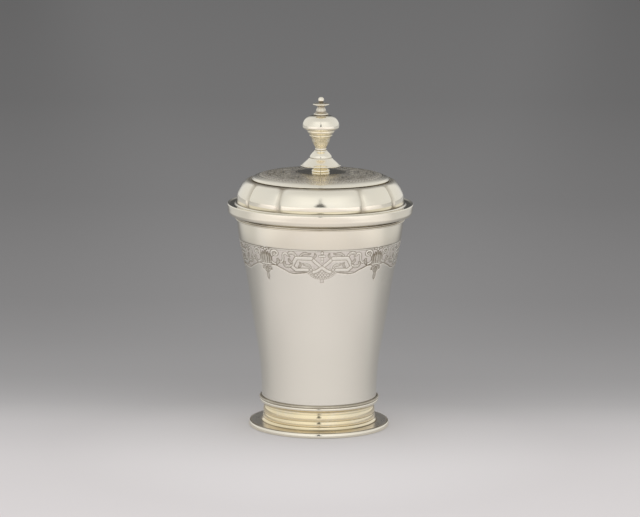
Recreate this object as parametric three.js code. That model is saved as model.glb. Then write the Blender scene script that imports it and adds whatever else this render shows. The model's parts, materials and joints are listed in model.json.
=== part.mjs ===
// A covered beaker: a tapering silver drinking cup on a moulded, gilt foot, and a lobed cover with an
// engraved top plate and a turned finial. Millimetres, +Z up. The origin is the middle of the foot, on the
// plane it stands on, and the front is towards -Y.
import * as THREE from "three";

// How finely the round pieces are faceted.
const BODY_FACETS = 48;
const FINIAL_FACETS = 24;

// The vessel: the raised cup itself.
const BASE_RADIUS = 30.5;
const MOUTH_RADIUS = 44.35;
const VESSEL_HEIGHT = 99.65;
const VESSEL_WALL = 0.9;
const VESSEL_FLOOR = 1.1;
const VESSEL_EDGE = 0.5;
const VESSEL_INNER_FILLET = 1.6;

// The collar soldered round its base and the reeded moulding under its mouth.
const COLLAR_PROJECTION = 1.4;
const COLLAR_ROLL_HEIGHT = 1.5;
const COLLAR_BEAD_HEIGHT = 1.45;
const LIP_MOULDING_HEIGHT = 1.9;
const LIP_MOULDING_WIDTH = 0.55;
const LIP_MOULDING_DROP = 0.2;

// The foot: a reeded spool under the vessel, a spreading plate and an edge wire that bears on the table.
const SPOOL_HEIGHT = 10.4;
const SPOOL_INSET = 0.7;
const SPOOL_WAIST_DEPTH = 0.9;
const SPOOL_BASE_FLARE = 0.7;
const SPOOL_WALL = 1.1;
const SPOOL_SEAT_MARGIN = 0.3;
const REED_DEPTH = 0.45;
const FOOT_SPREAD = 7.6;
const FOOT_PLATE_THICKNESS = 0.85;
const FOOT_PLATE_RISE = 0.1;
const EDGE_WIRE_HEIGHT = 2.4;
const EDGE_WIRE_WIDTH = 2.0;
const EDGE_WIRE_LEDGE = 1.7;
const EDGE_WIRE_ROUNDING = 0.15;
const BEARING_WIDTH = 1.2;

// The cover: its bezel that drops into the mouth, the flange, the lobed band and the top plate.
const BEZEL_CLEARANCE = 0.4;
const BEZEL_WALL = 0.9;
const BEZEL_DEPTH = 7.8;
const BEZEL_LEAD = 0.3;
const FLANGE_HEIGHT = 6.7;
const FLANGE_OVERHANG = 4.8;
const FLANGE_SHEET = 0.9;
const FLANGE_SEAT_MARGIN = 0.6;
const FLANGE_DISH = 0.6;
const LOBE_BAND_HEIGHT = 12.4;
const LOBE_BAND_SHEET = 0.85;
const LOBE_BAND_SETBACK = 0.25;
const LOBE_FOOT_TUCK = 0.35;
const SHOULDER_SHOWN = 1.3;
const CHANNEL_DEPTH = 0.75;
const CHANNEL_WIDTH = 3.6;
const WIDE_LOBE_DEGREES = 60;
const PLATE_INSET = 7.9;
const PLATE_OVERHANG = 0.8;
const PLATE_SEAT_WIDTH = 2.6;
const PLATE_EDGE_HEIGHT = 0.7;
const PLATE_THICKNESS = 0.85;
const PLATE_CROWN = 4.1;

// The finial: pieces turned one above the other on a threaded rod.
const ROD_RADIUS = 1.0;
const ROD_CLEARANCE = 0.1;
const ROD_END_CLEARANCE = 0.3;
const ROD_TAIL = 1.1;
const SEAT_RADIUS = 4.7;
const SEAT_HEIGHT = 2.9;
const SEAT_ROUNDING = 0.4;
const BELL_RADIUS = 10.65;
const BELL_HEIGHT = 8.7;
const WAIST_RADIUS = 3.05;
const WAIST_HEIGHT = 1.1;
const WAIST_ROUNDING = 0.3;
const VASE_RADIUS = 6.1;
const VASE_HEIGHT = 7.0;
const VASE_RING_PROJECTION = 1.05;
const VASE_RING_HEIGHT = 2.4;
const CAP_RADIUS = 9.65;
const CAP_HEIGHT = 7.8;
const CAP_RING_RADIUS = 3.85;
const CAP_RING_HEIGHT = 1.5;
const STEM_RADIUS = 2.4;
const STEM_HEIGHT = 3.6;
const DISC_RADIUS = 4.35;
const DISC_HEIGHT = 1.9;
const BEAD_RADIUS = 1.55;
const WASHER_RADIUS = 5.2;
const WASHER_THICKNESS = 0.8;
const NUT_ACROSS_FLATS = 6.0;
const NUT_HEIGHT = 2.4;

// The gap left in a soldered seam.
const SEAM = 0.05;

// Radii and heights that follow from the sizes above.
const spoolRadius = BASE_RADIUS - SPOOL_INSET;
const waistRadius = spoolRadius - SPOOL_WAIST_DEPTH;
const spoolInner = waistRadius - SPOOL_WALL;
const spoolBaseRadius = spoolRadius + SPOOL_BASE_FLARE;
const footRadius = spoolRadius + FOOT_SPREAD;
const footPlateTop = EDGE_WIRE_LEDGE + FOOT_PLATE_THICKNESS + FOOT_PLATE_RISE;
const vesselBase = footPlateTop + SPOOL_HEIGHT;
const mouth = vesselBase + VESSEL_HEIGHT;
const bezelOuter = MOUTH_RADIUS - VESSEL_WALL - BEZEL_CLEARANCE;
const flangeTop = mouth + FLANGE_HEIGHT;
const flangeRadius = MOUTH_RADIUS + FLANGE_OVERHANG;
const lobeRadius = MOUTH_RADIUS - LOBE_BAND_SETBACK;
const lobeBandTop = flangeTop + LOBE_BAND_HEIGHT;
const plateRadius = lobeRadius - PLATE_INSET;
const plateSeatOuter = plateRadius - PLATE_OVERHANG;
const plateSeatInner = plateSeatOuter - PLATE_SEAT_WIDTH;
const plateTop = lobeBandTop + PLATE_CROWN;
const plateUnderside = plateTop - PLATE_THICKNESS;
const rodBore = ROD_RADIUS + ROD_CLEARANCE;
const seatTop = plateTop + SEAT_HEIGHT;
const bellTop = seatTop + BELL_HEIGHT;
const waistTop = bellTop + WAIST_HEIGHT;
const vaseTop = waistTop + VASE_HEIGHT;
const vaseRingRadius = VASE_RADIUS + VASE_RING_PROJECTION;
const vaseRingTop = vaseTop + VASE_RING_HEIGHT;
const capTop = vaseRingTop + CAP_HEIGHT;
const capRingTop = capTop + CAP_RING_HEIGHT;
const stemTop = capRingTop + STEM_HEIGHT;
const nutTop = plateUnderside - WASHER_THICKNESS;
const nutBottom = nutTop - NUT_HEIGHT;

// The metals: white silver, silver whose gilding has worn pale, and the stronger gilding of the foot.
const silver = () => new THREE.MeshStandardMaterial({ color: 0xd6d1c8, roughness: 0.24, metalness: 1 });
const paleGilt = () => new THREE.MeshStandardMaterial({ color: 0xdad3b8, roughness: 0.2, metalness: 1 });
const gilt = () => new THREE.MeshStandardMaterial({ color: 0xd9c281, roughness: 0.22, metalness: 1 });

function piece(name, geometry, material) {
  const mesh = new THREE.Mesh(geometry, material);
  mesh.name = name;
  return mesh;
}

// A turned shape. Its outline of [radius, height] points goes up the outside, and starts and ends on the
// axis; a ring's outline comes back down the inside, and is closed here.
function turned(outline, facets) {
  const onAxis = outline[0][0] === 0;
  const closed = onAxis ? outline : [...outline, outline[0]];
  const geometry = new THREE.LatheGeometry(closed.map(([r, z]) => new THREE.Vector2(r, z)), facets);
  return geometry.rotateX(Math.PI / 2);
}

// A piece of the finial: an outside that goes up, with the rod's bore through it.
function bored(outside) {
  const bottom = outside[0][1];
  const top = outside[outside.length - 1][1];
  return turned([[rodBore, bottom], ...outside, [rodBore, top]], FINIAL_FACETS);
}

// The wire round the foot's edge: flat where it bears, with a ledge inside that the foot plate lies on.
function footEdgeWire() {
  const inner = footRadius - EDGE_WIRE_WIDTH;
  const ledgeOuter = footRadius - EDGE_WIRE_WIDTH / 2;
  const outline = [
    [inner, 0],
    [inner + BEARING_WIDTH, 0],
    [footRadius - EDGE_WIRE_ROUNDING, EDGE_WIRE_HEIGHT * 0.2],
    [footRadius, EDGE_WIRE_HEIGHT * 0.45],
    [footRadius - EDGE_WIRE_ROUNDING, EDGE_WIRE_HEIGHT * 0.75],
    [ledgeOuter + 2 * EDGE_WIRE_ROUNDING, EDGE_WIRE_HEIGHT],
    [ledgeOuter, EDGE_WIRE_LEDGE],
    [inner, EDGE_WIRE_LEDGE],
  ];
  return piece("foot_edge_wire", turned(outline, BODY_FACETS), paleGilt());
}

// The spreading plate of the foot, which rises a little from the edge wire to the seat of the spool.
function footPlate() {
  const rim = footRadius - EDGE_WIRE_WIDTH / 2 - SEAM;
  const seatOuter = spoolBaseRadius + SPOOL_SEAT_MARGIN;
  const seatUnder = footPlateTop - FOOT_PLATE_THICKNESS;
  const outline = [
    [spoolInner, seatUnder],
    [seatOuter, seatUnder],
    [footRadius - EDGE_WIRE_WIDTH, EDGE_WIRE_LEDGE],
    [rim, EDGE_WIRE_LEDGE],
    [rim, EDGE_WIRE_LEDGE + FOOT_PLATE_THICKNESS],
    [seatOuter, footPlateTop],
    [spoolInner, footPlateTop],
  ];
  return piece("foot_plate", turned(outline, BODY_FACETS), paleGilt());
}

// The gilt spool: a base that spreads in a hollow curve, two broad reeds, a hollow neck and a lip that
// carries the vessel.
function footSpool() {
  const z = (share) => footPlateTop + SPOOL_HEIGHT * share;
  const spread = (share) => spoolRadius + SPOOL_BASE_FLARE * share;
  const reed = waistRadius + REED_DEPTH;
  const outside = [
    [spread(1), z(0)],
    [spread(1), z(0.04)],
    [spread(0.4), z(0.08)],
    [spread(0), z(0.14)],
    [reed, z(0.2)],
    [reed + REED_DEPTH, z(0.34)],
    [reed, z(0.51)],
    [reed + REED_DEPTH * 0.7, z(0.66)],
    [reed, z(0.79)],
    [waistRadius, z(0.87)],
    [waistRadius + SPOOL_WAIST_DEPTH / 2, z(0.95)],
    [spoolRadius, z(1)],
  ];
  const inside = [
    [spoolInner + SPOOL_WALL / 2, z(1)],
    [spoolInner, z(0.86)],
    [spoolInner, z(0)],
  ];
  return piece("foot_spool", turned([...outside, ...inside], BODY_FACETS), gilt());
}

// How far the wall has flared, from 0 at the base to 1 at the mouth, at a share of its height: steep at
// the bottom, least steep below the engraved band, and steeper again to the mouth.
const FLARE = [
  [0, 0],
  [0.1, 0.012],
  [0.25, 0.105],
  [0.42, 0.31],
  [0.58, 0.49],
  [0.7, 0.635],
  [0.8, 0.79],
  [0.9, 0.92],
  [1, 1],
];
const wall = FLARE.map(([share, flare]) => [
  BASE_RADIUS + (MOUTH_RADIUS - BASE_RADIUS) * flare,
  vesselBase + VESSEL_HEIGHT * share,
]);

// The radius of the outside of the wall at a height.
function wallRadius(z) {
  const i = wall.findIndex((point) => point[1] >= z);
  const [[r0, z0], [r1, z1]] = [wall[i - 1], wall[i]];
  return r0 + ((r1 - r0) * (z - z0)) / (z1 - z0);
}

// The raised cup, flat underneath, with its bottom edge just broken and a fillet inside.
function vessel() {
  const outside = wall.slice(1);
  const inside = outside.map(([r, z]) => [r - VESSEL_WALL, z]).reverse();
  const floor = vesselBase + VESSEL_FLOOR;
  const innerBase = BASE_RADIUS - VESSEL_WALL;
  const outline = [
    [0, vesselBase],
    [BASE_RADIUS - VESSEL_EDGE, vesselBase],
    [BASE_RADIUS, vesselBase + VESSEL_EDGE],
    ...outside,
    ...inside,
    [innerBase, floor + VESSEL_INNER_FILLET],
    [innerBase - VESSEL_INNER_FILLET, floor],
    [0, floor],
  ];
  return piece("vessel", turned(outline, BODY_FACETS), silver());
}

// The collar soldered round the base: a roll, and a bead above it that stands out further.
function collar() {
  const z = (share) => vesselBase + COLLAR_ROLL_HEIGHT * share;
  const bead = (share) => z(1) + COLLAR_BEAD_HEIGHT * share;
  const inner = wallRadius(bead(1)) + SEAM;
  const r = (share) => BASE_RADIUS + COLLAR_PROJECTION * share;
  const outline = [
    [inner, z(0)],
    [r(0.35), z(0)],
    [r(0.7), z(0.3)],
    [r(0.75), z(0.6)],
    [r(0.6), z(0.97)],
    [r(0.9), bead(0.15)],
    [r(1), bead(0.4)],
    [r(0.95), bead(0.7)],
    [r(0.5), bead(1)],
    [inner, bead(1)],
  ];
  return piece("foot_collar", turned(outline, BODY_FACETS), paleGilt());
}

// The reeded moulding round the outside of the mouth.
function lipMoulding() {
  const inner = MOUTH_RADIUS + SEAM;
  const bottom = mouth - LIP_MOULDING_DROP - LIP_MOULDING_HEIGHT;
  const z = (share) => bottom + LIP_MOULDING_HEIGHT * share;
  const groove = inner + LIP_MOULDING_WIDTH / 2;
  const crest = inner + LIP_MOULDING_WIDTH;
  const outline = [
    [inner, z(0)],
    [groove, z(0)],
    [crest, z(0.25)],
    [groove, z(0.5)],
    [crest, z(0.75)],
    [groove, z(1)],
    [inner, z(1)],
  ];
  return piece("lip_moulding", turned(outline, BODY_FACETS), paleGilt());
}

// The bezel: a strip that runs up inside the flange and down into the mouth, where it draws in with the
// wall, with a lead on its lower edge.
function coverBezel() {
  const bottom = mouth - BEZEL_DEPTH;
  const lower = wallRadius(bottom) - VESSEL_WALL - BEZEL_CLEARANCE;
  const outline = [
    [lower - BEZEL_WALL, bottom],
    [lower - BEZEL_LEAD, bottom],
    [lower, bottom + 2 * BEZEL_LEAD],
    [bezelOuter, mouth],
    [bezelOuter, flangeTop],
    [bezelOuter - BEZEL_WALL, flangeTop],
    [bezelOuter - BEZEL_WALL, mouth],
  ];
  return piece("cover_bezel", turned(outline, BODY_FACETS), paleGilt());
}

// The flange: a hollow moulding that rests on the mouth, with a sloping face and a dished top that the
// lobed band stands on.
function coverFlange() {
  const inner = bezelOuter + SEAM;
  const restOuter = MOUTH_RADIUS + FLANGE_SEAT_MARGIN;
  const seatOuter = lobeRadius + FLANGE_SEAT_MARGIN;
  const z = (share) => mouth + FLANGE_HEIGHT * share;
  const r = (share) => restOuter + (flangeRadius - restOuter) * share;
  const outside = [
    [inner, mouth],
    [restOuter, mouth],
    [r(0.82), z(0.2)],
    [r(1), z(0.9)],
    [r(0.94), z(0.97)],
    [r(0.6), flangeTop - FLANGE_DISH],
    [seatOuter + FLANGE_DISH, flangeTop - FLANGE_DISH],
    [seatOuter, flangeTop],
    [inner, flangeTop],
  ];
  const inside = [
    [inner, flangeTop - FLANGE_SHEET],
    [seatOuter, flangeTop - FLANGE_SHEET - FLANGE_DISH],
    [r(0.72), flangeTop - FLANGE_SHEET - FLANGE_DISH],
    [r(0.62), z(0.2) + FLANGE_SHEET * 0.7],
    [restOuter, mouth + FLANGE_SHEET],
    [inner, mouth + FLANGE_SHEET],
  ];
  return piece("cover_flange", turned([...outside, ...inside], BODY_FACETS), paleGilt());
}

// The angles, in degrees, of the channels between the lobes: four wide lobes, at the front, the back and
// the sides, with a narrow one between each two.
const channelAngles = [0, 90, 180, 270].flatMap((middle) => [
  middle - WIDE_LOBE_DEGREES / 2,
  middle + WIDE_LOBE_DEGREES / 2,
]);
const channelHalfDegrees = THREE.MathUtils.radToDeg(CHANNEL_WIDTH / 2 / lobeRadius);

function degreesApart(a, b) {
  const turn = (((a - b) % 360) + 360) % 360;
  return Math.min(turn, 360 - turn);
}

// The angles at which the lobed band is cut into facets: all round evenly, and closer in each channel.
function lobeBandAngles() {
  const step = 360 / BODY_FACETS;
  const inChannels = channelAngles.flatMap((a) => [-1, -0.5, 0, 0.5, 1].map((k) => a + k * channelHalfDegrees));
  const even = Array.from({ length: BODY_FACETS }, (_, i) => i * step);
  const reach = channelHalfDegrees + step / 4;
  const clear = even.filter((a) => channelAngles.every((c) => degreesApart(a, c) > reach));
  return [...clear, ...inChannels].map((a) => (a + 360) % 360).sort((a, b) => a - b);
}

// How deep the channels are cut at an angle, from 0 on a lobe to 1 in the middle of a channel.
function channelCut(angle) {
  const nearest = Math.min(...channelAngles.map((c) => degreesApart(angle, c)));
  return nearest < channelHalfDegrees ? (1 + Math.cos((Math.PI * nearest) / channelHalfDegrees)) / 2 : 0;
}

// The lobed band, raised from sheet: it stands on the flange, curves over and ends in a flat ring that
// the top plate lies on. Each point of its section has how much of the channels' depth it takes.
function lobedBand() {
  const z = (share) => flangeTop + LOBE_BAND_HEIGHT * share;
  const shoulder = plateRadius + SHOULDER_SHOWN;
  const r = (share) => lobeRadius + (shoulder - lobeRadius) * share;
  const sheet = LOBE_BAND_SHEET;
  const section = [
    [lobeRadius - LOBE_FOOT_TUCK, z(0), 0.5],
    [lobeRadius, z(0.3), 1],
    [r(0.16), z(0.53), 1],
    [r(0.36), z(0.74), 1],
    [r(0.62), z(0.9), 1],
    [shoulder, z(1), 0.5],
    [plateSeatInner, z(1), 0],
    [plateSeatInner, z(1) - sheet, 0],
    [shoulder - sheet / 2, z(1) - sheet, 0.5],
    [r(0.5) - sheet, z(0.78), 1],
    [r(0.1) - sheet, z(0.4), 1],
    [lobeRadius - LOBE_FOOT_TUCK - sheet, z(0), 0.5],
  ];
  const angles = lobeBandAngles();
  const positions = [];
  for (const angle of angles) {
    const cut = channelCut(angle) * CHANNEL_DEPTH;
    const turn = THREE.MathUtils.degToRad(angle);
    for (const [radius, height, depth] of section) {
      const pressed = radius - cut * depth;
      positions.push(pressed * Math.sin(turn), -pressed * Math.cos(turn), height);
    }
  }
  const geometry = new THREE.BufferGeometry();
  geometry.setAttribute("position", new THREE.Float32BufferAttribute(positions, 3));
  geometry.setIndex(ringFaces(angles.length, section.length));
  return piece("cover_lobed_band", geometry, paleGilt());
}

// The faces of a closed ring of closed sections.
function ringFaces(turns, points) {
  const faces = [];
  for (let i = 0; i < turns; i += 1) {
    const next = (i + 1) % turns;
    for (let j = 0; j < points; j += 1) {
      const up = (j + 1) % points;
      const a = i * points + j;
      const b = next * points + j;
      const c = next * points + up;
      const d = i * points + up;
      faces.push(a, b, d, b, c, d);
    }
  }
  return faces;
}

// The top plate: a low dome with a thin edge that overhangs the lobes, drilled for the rod, with a flat
// boss above for the finial's seat and below for the washer.
function topPlate() {
  const z = (share) => lobeBandTop + PLATE_CROWN * share;
  const under = (share) => plateUnderside - PLATE_CROWN * share;
  const edge = (share) => lobeBandTop + PLATE_EDGE_HEIGHT * share;
  const outline = [
    [plateSeatInner, edge(0)],
    [plateSeatOuter, edge(0)],
    [plateRadius, edge(0.5)],
    [plateRadius * 0.995, edge(1)],
    [plateRadius * 0.97, z(0.34)],
    [plateRadius * 0.88, z(0.63)],
    [plateRadius * 0.74, z(0.84)],
    [plateRadius * 0.5, z(0.96)],
    [SEAT_RADIUS + 1, plateTop],
    [rodBore, plateTop],
    [rodBore, plateUnderside],
    [WASHER_RADIUS + 1, plateUnderside],
    [plateRadius * 0.5, under(0.05)],
    [plateRadius * 0.74, under(0.17)],
    [plateSeatInner - 1, under(0.4)],
  ];
  return piece("cover_top_plate", turned(outline, BODY_FACETS), paleGilt());
}

// The finial's seat: a rounded ring on the plate, and a short neck under the bell.
function finialSeat() {
  const neck = SEAT_RADIUS * 0.7;
  const z = (share) => plateTop + SEAT_HEIGHT * share;
  const outside = [
    [SEAT_RADIUS - SEAT_ROUNDING, z(0)],
    [SEAT_RADIUS, z(0.25)],
    [SEAT_RADIUS - SEAT_ROUNDING, z(0.5)],
    [neck, z(0.6)],
    [neck, z(1)],
  ];
  return piece("finial_seat", bored(outside), paleGilt());
}

// The bell: a flaring skirt with a thin edge, a step and a rounded shoulder.
function finialBell() {
  const z = (share) => seatTop + BELL_HEIGHT * share;
  const outside = [
    [BELL_RADIUS * 0.4, z(0)],
    [BELL_RADIUS * 0.95, z(0.02)],
    [BELL_RADIUS, z(0.06)],
    [BELL_RADIUS * 0.9, z(0.15)],
    [BELL_RADIUS * 0.58, z(0.51)],
    [BELL_RADIUS * 0.545, z(0.54)],
    [BELL_RADIUS * 0.53, z(0.65)],
    [BELL_RADIUS * 0.46, z(0.78)],
    [BELL_RADIUS * 0.32, z(0.96)],
    [BELL_RADIUS * 0.3, z(1)],
  ];
  return piece("finial_bell", bored(outside), paleGilt());
}

function finialWaistRing() {
  const z = (share) => bellTop + WAIST_HEIGHT * share;
  const outside = [
    [WAIST_RADIUS - WAIST_ROUNDING, z(0)],
    [WAIST_RADIUS, z(0.35)],
    [WAIST_RADIUS, z(0.65)],
    [WAIST_RADIUS - WAIST_ROUNDING, z(1)],
  ];
  return piece("finial_waist_ring", bored(outside), paleGilt());
}

function finialVase() {
  const z = (share) => waistTop + VASE_HEIGHT * share;
  const outside = [
    [VASE_RADIUS * 0.49, z(0)],
    [VASE_RADIUS * 0.54, z(0.1)],
    [VASE_RADIUS * 0.72, z(0.4)],
    [VASE_RADIUS * 0.87, z(0.78)],
    [VASE_RADIUS, z(0.91)],
    [VASE_RADIUS, z(1)],
  ];
  return piece("finial_vase", bored(outside), gilt());
}

function finialVaseRing() {
  const z = (share) => vaseTop + VASE_RING_HEIGHT * share;
  const outside = [
    [VASE_RADIUS, z(0)],
    [VASE_RADIUS + VASE_RING_PROJECTION * 0.5, z(0.35)],
    [vaseRingRadius, z(0.7)],
    [vaseRingRadius, z(1)],
  ];
  return piece("finial_vase_ring", bored(outside), paleGilt());
}

// The cap: a domed knop that shelters the ring it sits on.
function finialCap() {
  const z = (share) => vaseRingTop + CAP_HEIGHT * share;
  const outside = [
    [CAP_RADIUS * 0.8, z(0)],
    [CAP_RADIUS * 0.96, z(0.1)],
    [CAP_RADIUS, z(0.24)],
    [CAP_RADIUS * 0.99, z(0.43)],
    [CAP_RADIUS * 0.93, z(0.63)],
    [CAP_RADIUS * 0.83, z(0.8)],
    [CAP_RADIUS * 0.66, z(0.94)],
    [CAP_RADIUS * 0.44, z(1)],
  ];
  return piece("finial_cap", bored(outside), paleGilt());
}

function finialCapRing() {
  const z = (share) => capTop + CAP_RING_HEIGHT * share;
  const outside = [
    [CAP_RING_RADIUS * 0.93, z(0)],
    [CAP_RING_RADIUS, z(0.5)],
    [CAP_RING_RADIUS * 0.9, z(1)],
  ];
  return piece("finial_cap_ring", bored(outside), paleGilt());
}

// The button: a waisted stem, a disc and the small bead on top, with a blind socket for the rod.
function finialButton() {
  const stem = (share) => capRingTop + STEM_HEIGHT * share;
  const disc = (share) => stemTop + DISC_HEIGHT * share;
  const beadMiddle = disc(1) + BEAD_RADIUS * 0.75;
  const bead = [-40, -10, 20, 50].map((degrees) => {
    const angle = THREE.MathUtils.degToRad(degrees);
    return [BEAD_RADIUS * Math.cos(angle), beadMiddle + BEAD_RADIUS * Math.sin(angle)];
  });
  const outline = [
    [0, stemTop],
    [rodBore, stemTop],
    [rodBore, capRingTop],
    [STEM_RADIUS * 1.35, stem(0)],
    [STEM_RADIUS * 1.1, stem(0.15)],
    [STEM_RADIUS, stem(0.5)],
    [STEM_RADIUS * 0.82, stem(0.8)],
    [STEM_RADIUS * 1.2, stem(1)],
    [DISC_RADIUS, disc(0.4)],
    [DISC_RADIUS * 0.93, disc(0.65)],
    [BEAD_RADIUS, disc(0.9)],
    ...bead,
    [0, beadMiddle + BEAD_RADIUS],
  ];
  return piece("finial_button", turned(outline, FINIAL_FACETS), paleGilt());
}

// The rod that holds the finial together, from below the nut into the button's socket.
function finialRod() {
  const bottom = nutBottom - ROD_TAIL;
  const top = stemTop - ROD_END_CLEARANCE;
  const outline = [
    [0, bottom],
    [ROD_RADIUS * 0.75, bottom],
    [ROD_RADIUS, bottom + ROD_RADIUS * 0.25],
    [ROD_RADIUS, top],
    [0, top],
  ];
  return piece("finial_rod", turned(outline, FINIAL_FACETS), silver());
}

function finialWasher() {
  const outside = [
    [WASHER_RADIUS, nutTop],
    [WASHER_RADIUS, plateUnderside],
  ];
  return piece("finial_washer", bored(outside), silver());
}

function finialNut() {
  const flats = 6;
  const corner = NUT_ACROSS_FLATS / 2 / Math.cos(Math.PI / flats);
  const corners = Array.from({ length: flats }, (_, i) => (i / flats) * 2 * Math.PI);
  const hexagon = new THREE.Shape(
    corners.map((angle) => new THREE.Vector2(corner * Math.cos(angle), corner * Math.sin(angle))),
  );
  const hole = new THREE.Path();
  hole.absarc(0, 0, rodBore, 0, 2 * Math.PI, true);
  hexagon.holes.push(hole);
  const solid = { depth: NUT_HEIGHT, bevelEnabled: false, curveSegments: FINIAL_FACETS / 2 };
  const geometry = new THREE.ExtrudeGeometry(hexagon, solid);
  return piece("finial_nut", geometry.translate(0, 0, nutBottom), silver());
}

const beaker = new THREE.Group();
beaker.add(footEdgeWire(), footPlate(), footSpool(), vessel(), collar(), lipMoulding());

const cover = new THREE.Group();
cover.add(coverBezel(), coverFlange(), lobedBand(), topPlate());
cover.add(finialSeat(), finialBell(), finialWaistRing(), finialVase(), finialVaseRing());
cover.add(finialCap(), finialCapRing(), finialButton(), finialRod(), finialWasher(), finialNut());

const coveredBeaker = new THREE.Group();
coveredBeaker.add(beaker, cover);

export default coveredBeaker;
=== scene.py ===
"""Covered beaker: a tapering silver cup on a gilt, reeded foot, with a lobed cover and a turned finial.

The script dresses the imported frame. Each operator makes one piece, or one group of like pieces, from the
sizes and finishes in the side panel. Lengths are metres, +Z is up, and the front faces -Y.
"""

import json
import math

import bpy
import numpy as np
from bpy.props import FloatProperty, FloatVectorProperty, IntProperty, PointerProperty
from mathutils import Matrix, Vector


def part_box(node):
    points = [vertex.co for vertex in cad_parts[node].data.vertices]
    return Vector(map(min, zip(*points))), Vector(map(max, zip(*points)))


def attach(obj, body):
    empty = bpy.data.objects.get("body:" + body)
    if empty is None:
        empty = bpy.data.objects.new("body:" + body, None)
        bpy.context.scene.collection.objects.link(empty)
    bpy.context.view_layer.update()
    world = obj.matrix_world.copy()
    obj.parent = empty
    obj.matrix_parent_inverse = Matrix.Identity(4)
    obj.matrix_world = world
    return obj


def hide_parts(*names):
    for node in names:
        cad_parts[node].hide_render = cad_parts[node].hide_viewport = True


bl_info = {
    "name": "Covered Beaker",
    "version": (1, 0, 0),
    "blender": (4, 5, 0),
    "location": "View3D > Sidebar > Beaker",
    "description": "Makes a covered silver beaker, with its chased band, lobed cover and turned finial",
    "category": "Add Mesh",
}

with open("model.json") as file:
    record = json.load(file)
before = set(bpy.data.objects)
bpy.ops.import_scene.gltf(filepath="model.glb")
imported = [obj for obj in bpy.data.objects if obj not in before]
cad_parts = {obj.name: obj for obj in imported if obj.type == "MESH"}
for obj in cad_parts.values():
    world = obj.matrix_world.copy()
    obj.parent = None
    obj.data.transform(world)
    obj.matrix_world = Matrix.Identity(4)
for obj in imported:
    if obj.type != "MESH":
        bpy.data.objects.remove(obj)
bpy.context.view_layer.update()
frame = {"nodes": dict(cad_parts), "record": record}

MM = 0.001


def levels_of(node):
    """A CAD node's lowest and highest level, and its radius."""
    lowest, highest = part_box(node)
    return lowest.z, highest.z, highest.x


LEVELS = {node: levels_of(node) for node in frame["nodes"]}
BASE, MOUTH, MOUTH_RADIUS = LEVELS["vessel"]
FLANGE_TOP = LEVELS["cover_flange"][1]
LOBES_TOP = LEVELS["cover_lobed_band"][1]
PLATE_TOP, PLATE_RADIUS = LEVELS["cover_top_plate"][1:]
# How far the cup's wall has spread from its base to its mouth, at shares of its height.
WALL_FLARE = (
    (0, 0), (0.1, 0.012), (0.25, 0.105), (0.42, 0.31), (0.58, 0.49), (0.7, 0.635), (0.8, 0.79), (0.9, 0.92),
    (1, 1),
)
# How far a matted ground lies below the polished metal.
GROUND_DEPTH = 0.03 * MM


def length(name, description, millimetres):
    default = millimetres * MM
    return FloatProperty(name=name, description=description, default=default, unit="LENGTH", precision=5)


def angle(name, description, degrees):
    return FloatProperty(name=name, description=description, default=math.radians(degrees), subtype="ANGLE")


def share(name, description, default, highest=1.0):
    return FloatProperty(name=name, description=description, default=default, min=0, max=highest)


def tone(name, description, default):
    return FloatVectorProperty(
        name=name, description=description, default=default, size=3, subtype="COLOR", min=0, max=1
    )


class VesselSizes(bpy.types.PropertyGroup):
    base_radius: length("Base radius", "Radius of the cup where it stands on its foot", 30.5)
    wall: length("Wall", "Thickness of the raised wall", 0.9)
    floor: length("Floor", "Thickness of the flat bottom", 1.1)
    band_low: length("Band from", "Height at which the finely meshed chased band starts", 81.6)
    band_high: length("Band to", "Height at which the chased band ends", 101.2)
    gilt_from: length("Gilded from", "Height from which the outside of the lip is gilded", 101.0)
    depth: length("Chasing depth", "Depth of the lines cut into the band", 0.2)
    turn: angle("Band turn", "How far the band's pattern is turned to the right of the front", 1.5)


class FootSizes(bpy.types.PropertyGroup):
    spool_inner: length("Spool bore", "Radius of the hollow inside the foot", 27.8)
    neck: length("Neck", "Radius of the spool at its hollow neck", 28.9)
    plate_seat: length("Plate seat", "Radius of the flat on the plate that carries the spool", 30.8)
    wire_width: length("Edge wire", "Width of the wire that the foot stands on", 2.0)
    bearing: length("Bearing flat", "Width of the flat on which the edge wire bears", 1.2)
    sheet: length("Sheet", "Thickness of the foot's plate", 0.85)


class CoverSizes(bpy.types.PropertyGroup):
    bezel_wall: length("Bezel wall", "Thickness of the bezel that drops into the mouth", 0.9)
    sheet: length("Sheet", "Thickness of the lobed band", 0.85)
    channel_width: length("Channel width", "Width of the channels between the lobes", 4.4)
    channel_depth: length("Channel depth", "Depth of the channels between the lobes", 0.5)
    swell: length("Swell", "How far the lobes swell out beside the channels", 0.7)
    swell_reach: length("Swell's reach", "Distance over which most of the swell is reached", 3.6)
    flatness: length("Flatness", "How far the wide lobes are flattened in the middle", 0.3)
    flat_reach: length("Flat's reach", "Distance from the middle over which most of the flatness lies", 7.0)
    wide_lobe: angle("Wide lobe", "Angle that each of the four wide lobes takes up", 60)
    chasing: length("Chasing depth", "Depth of the lines cut into the top plate", 0.14)


class FinialSizes(bpy.types.PropertyGroup):
    bore: length("Bore", "Radius of the hole for the rod", 1.1)
    thread_pitch: length("Thread pitch", "Distance between the turns of the rod's thread", 0.45)
    thread_depth: length("Thread depth", "Depth of the rod's thread", 0.1)


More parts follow.
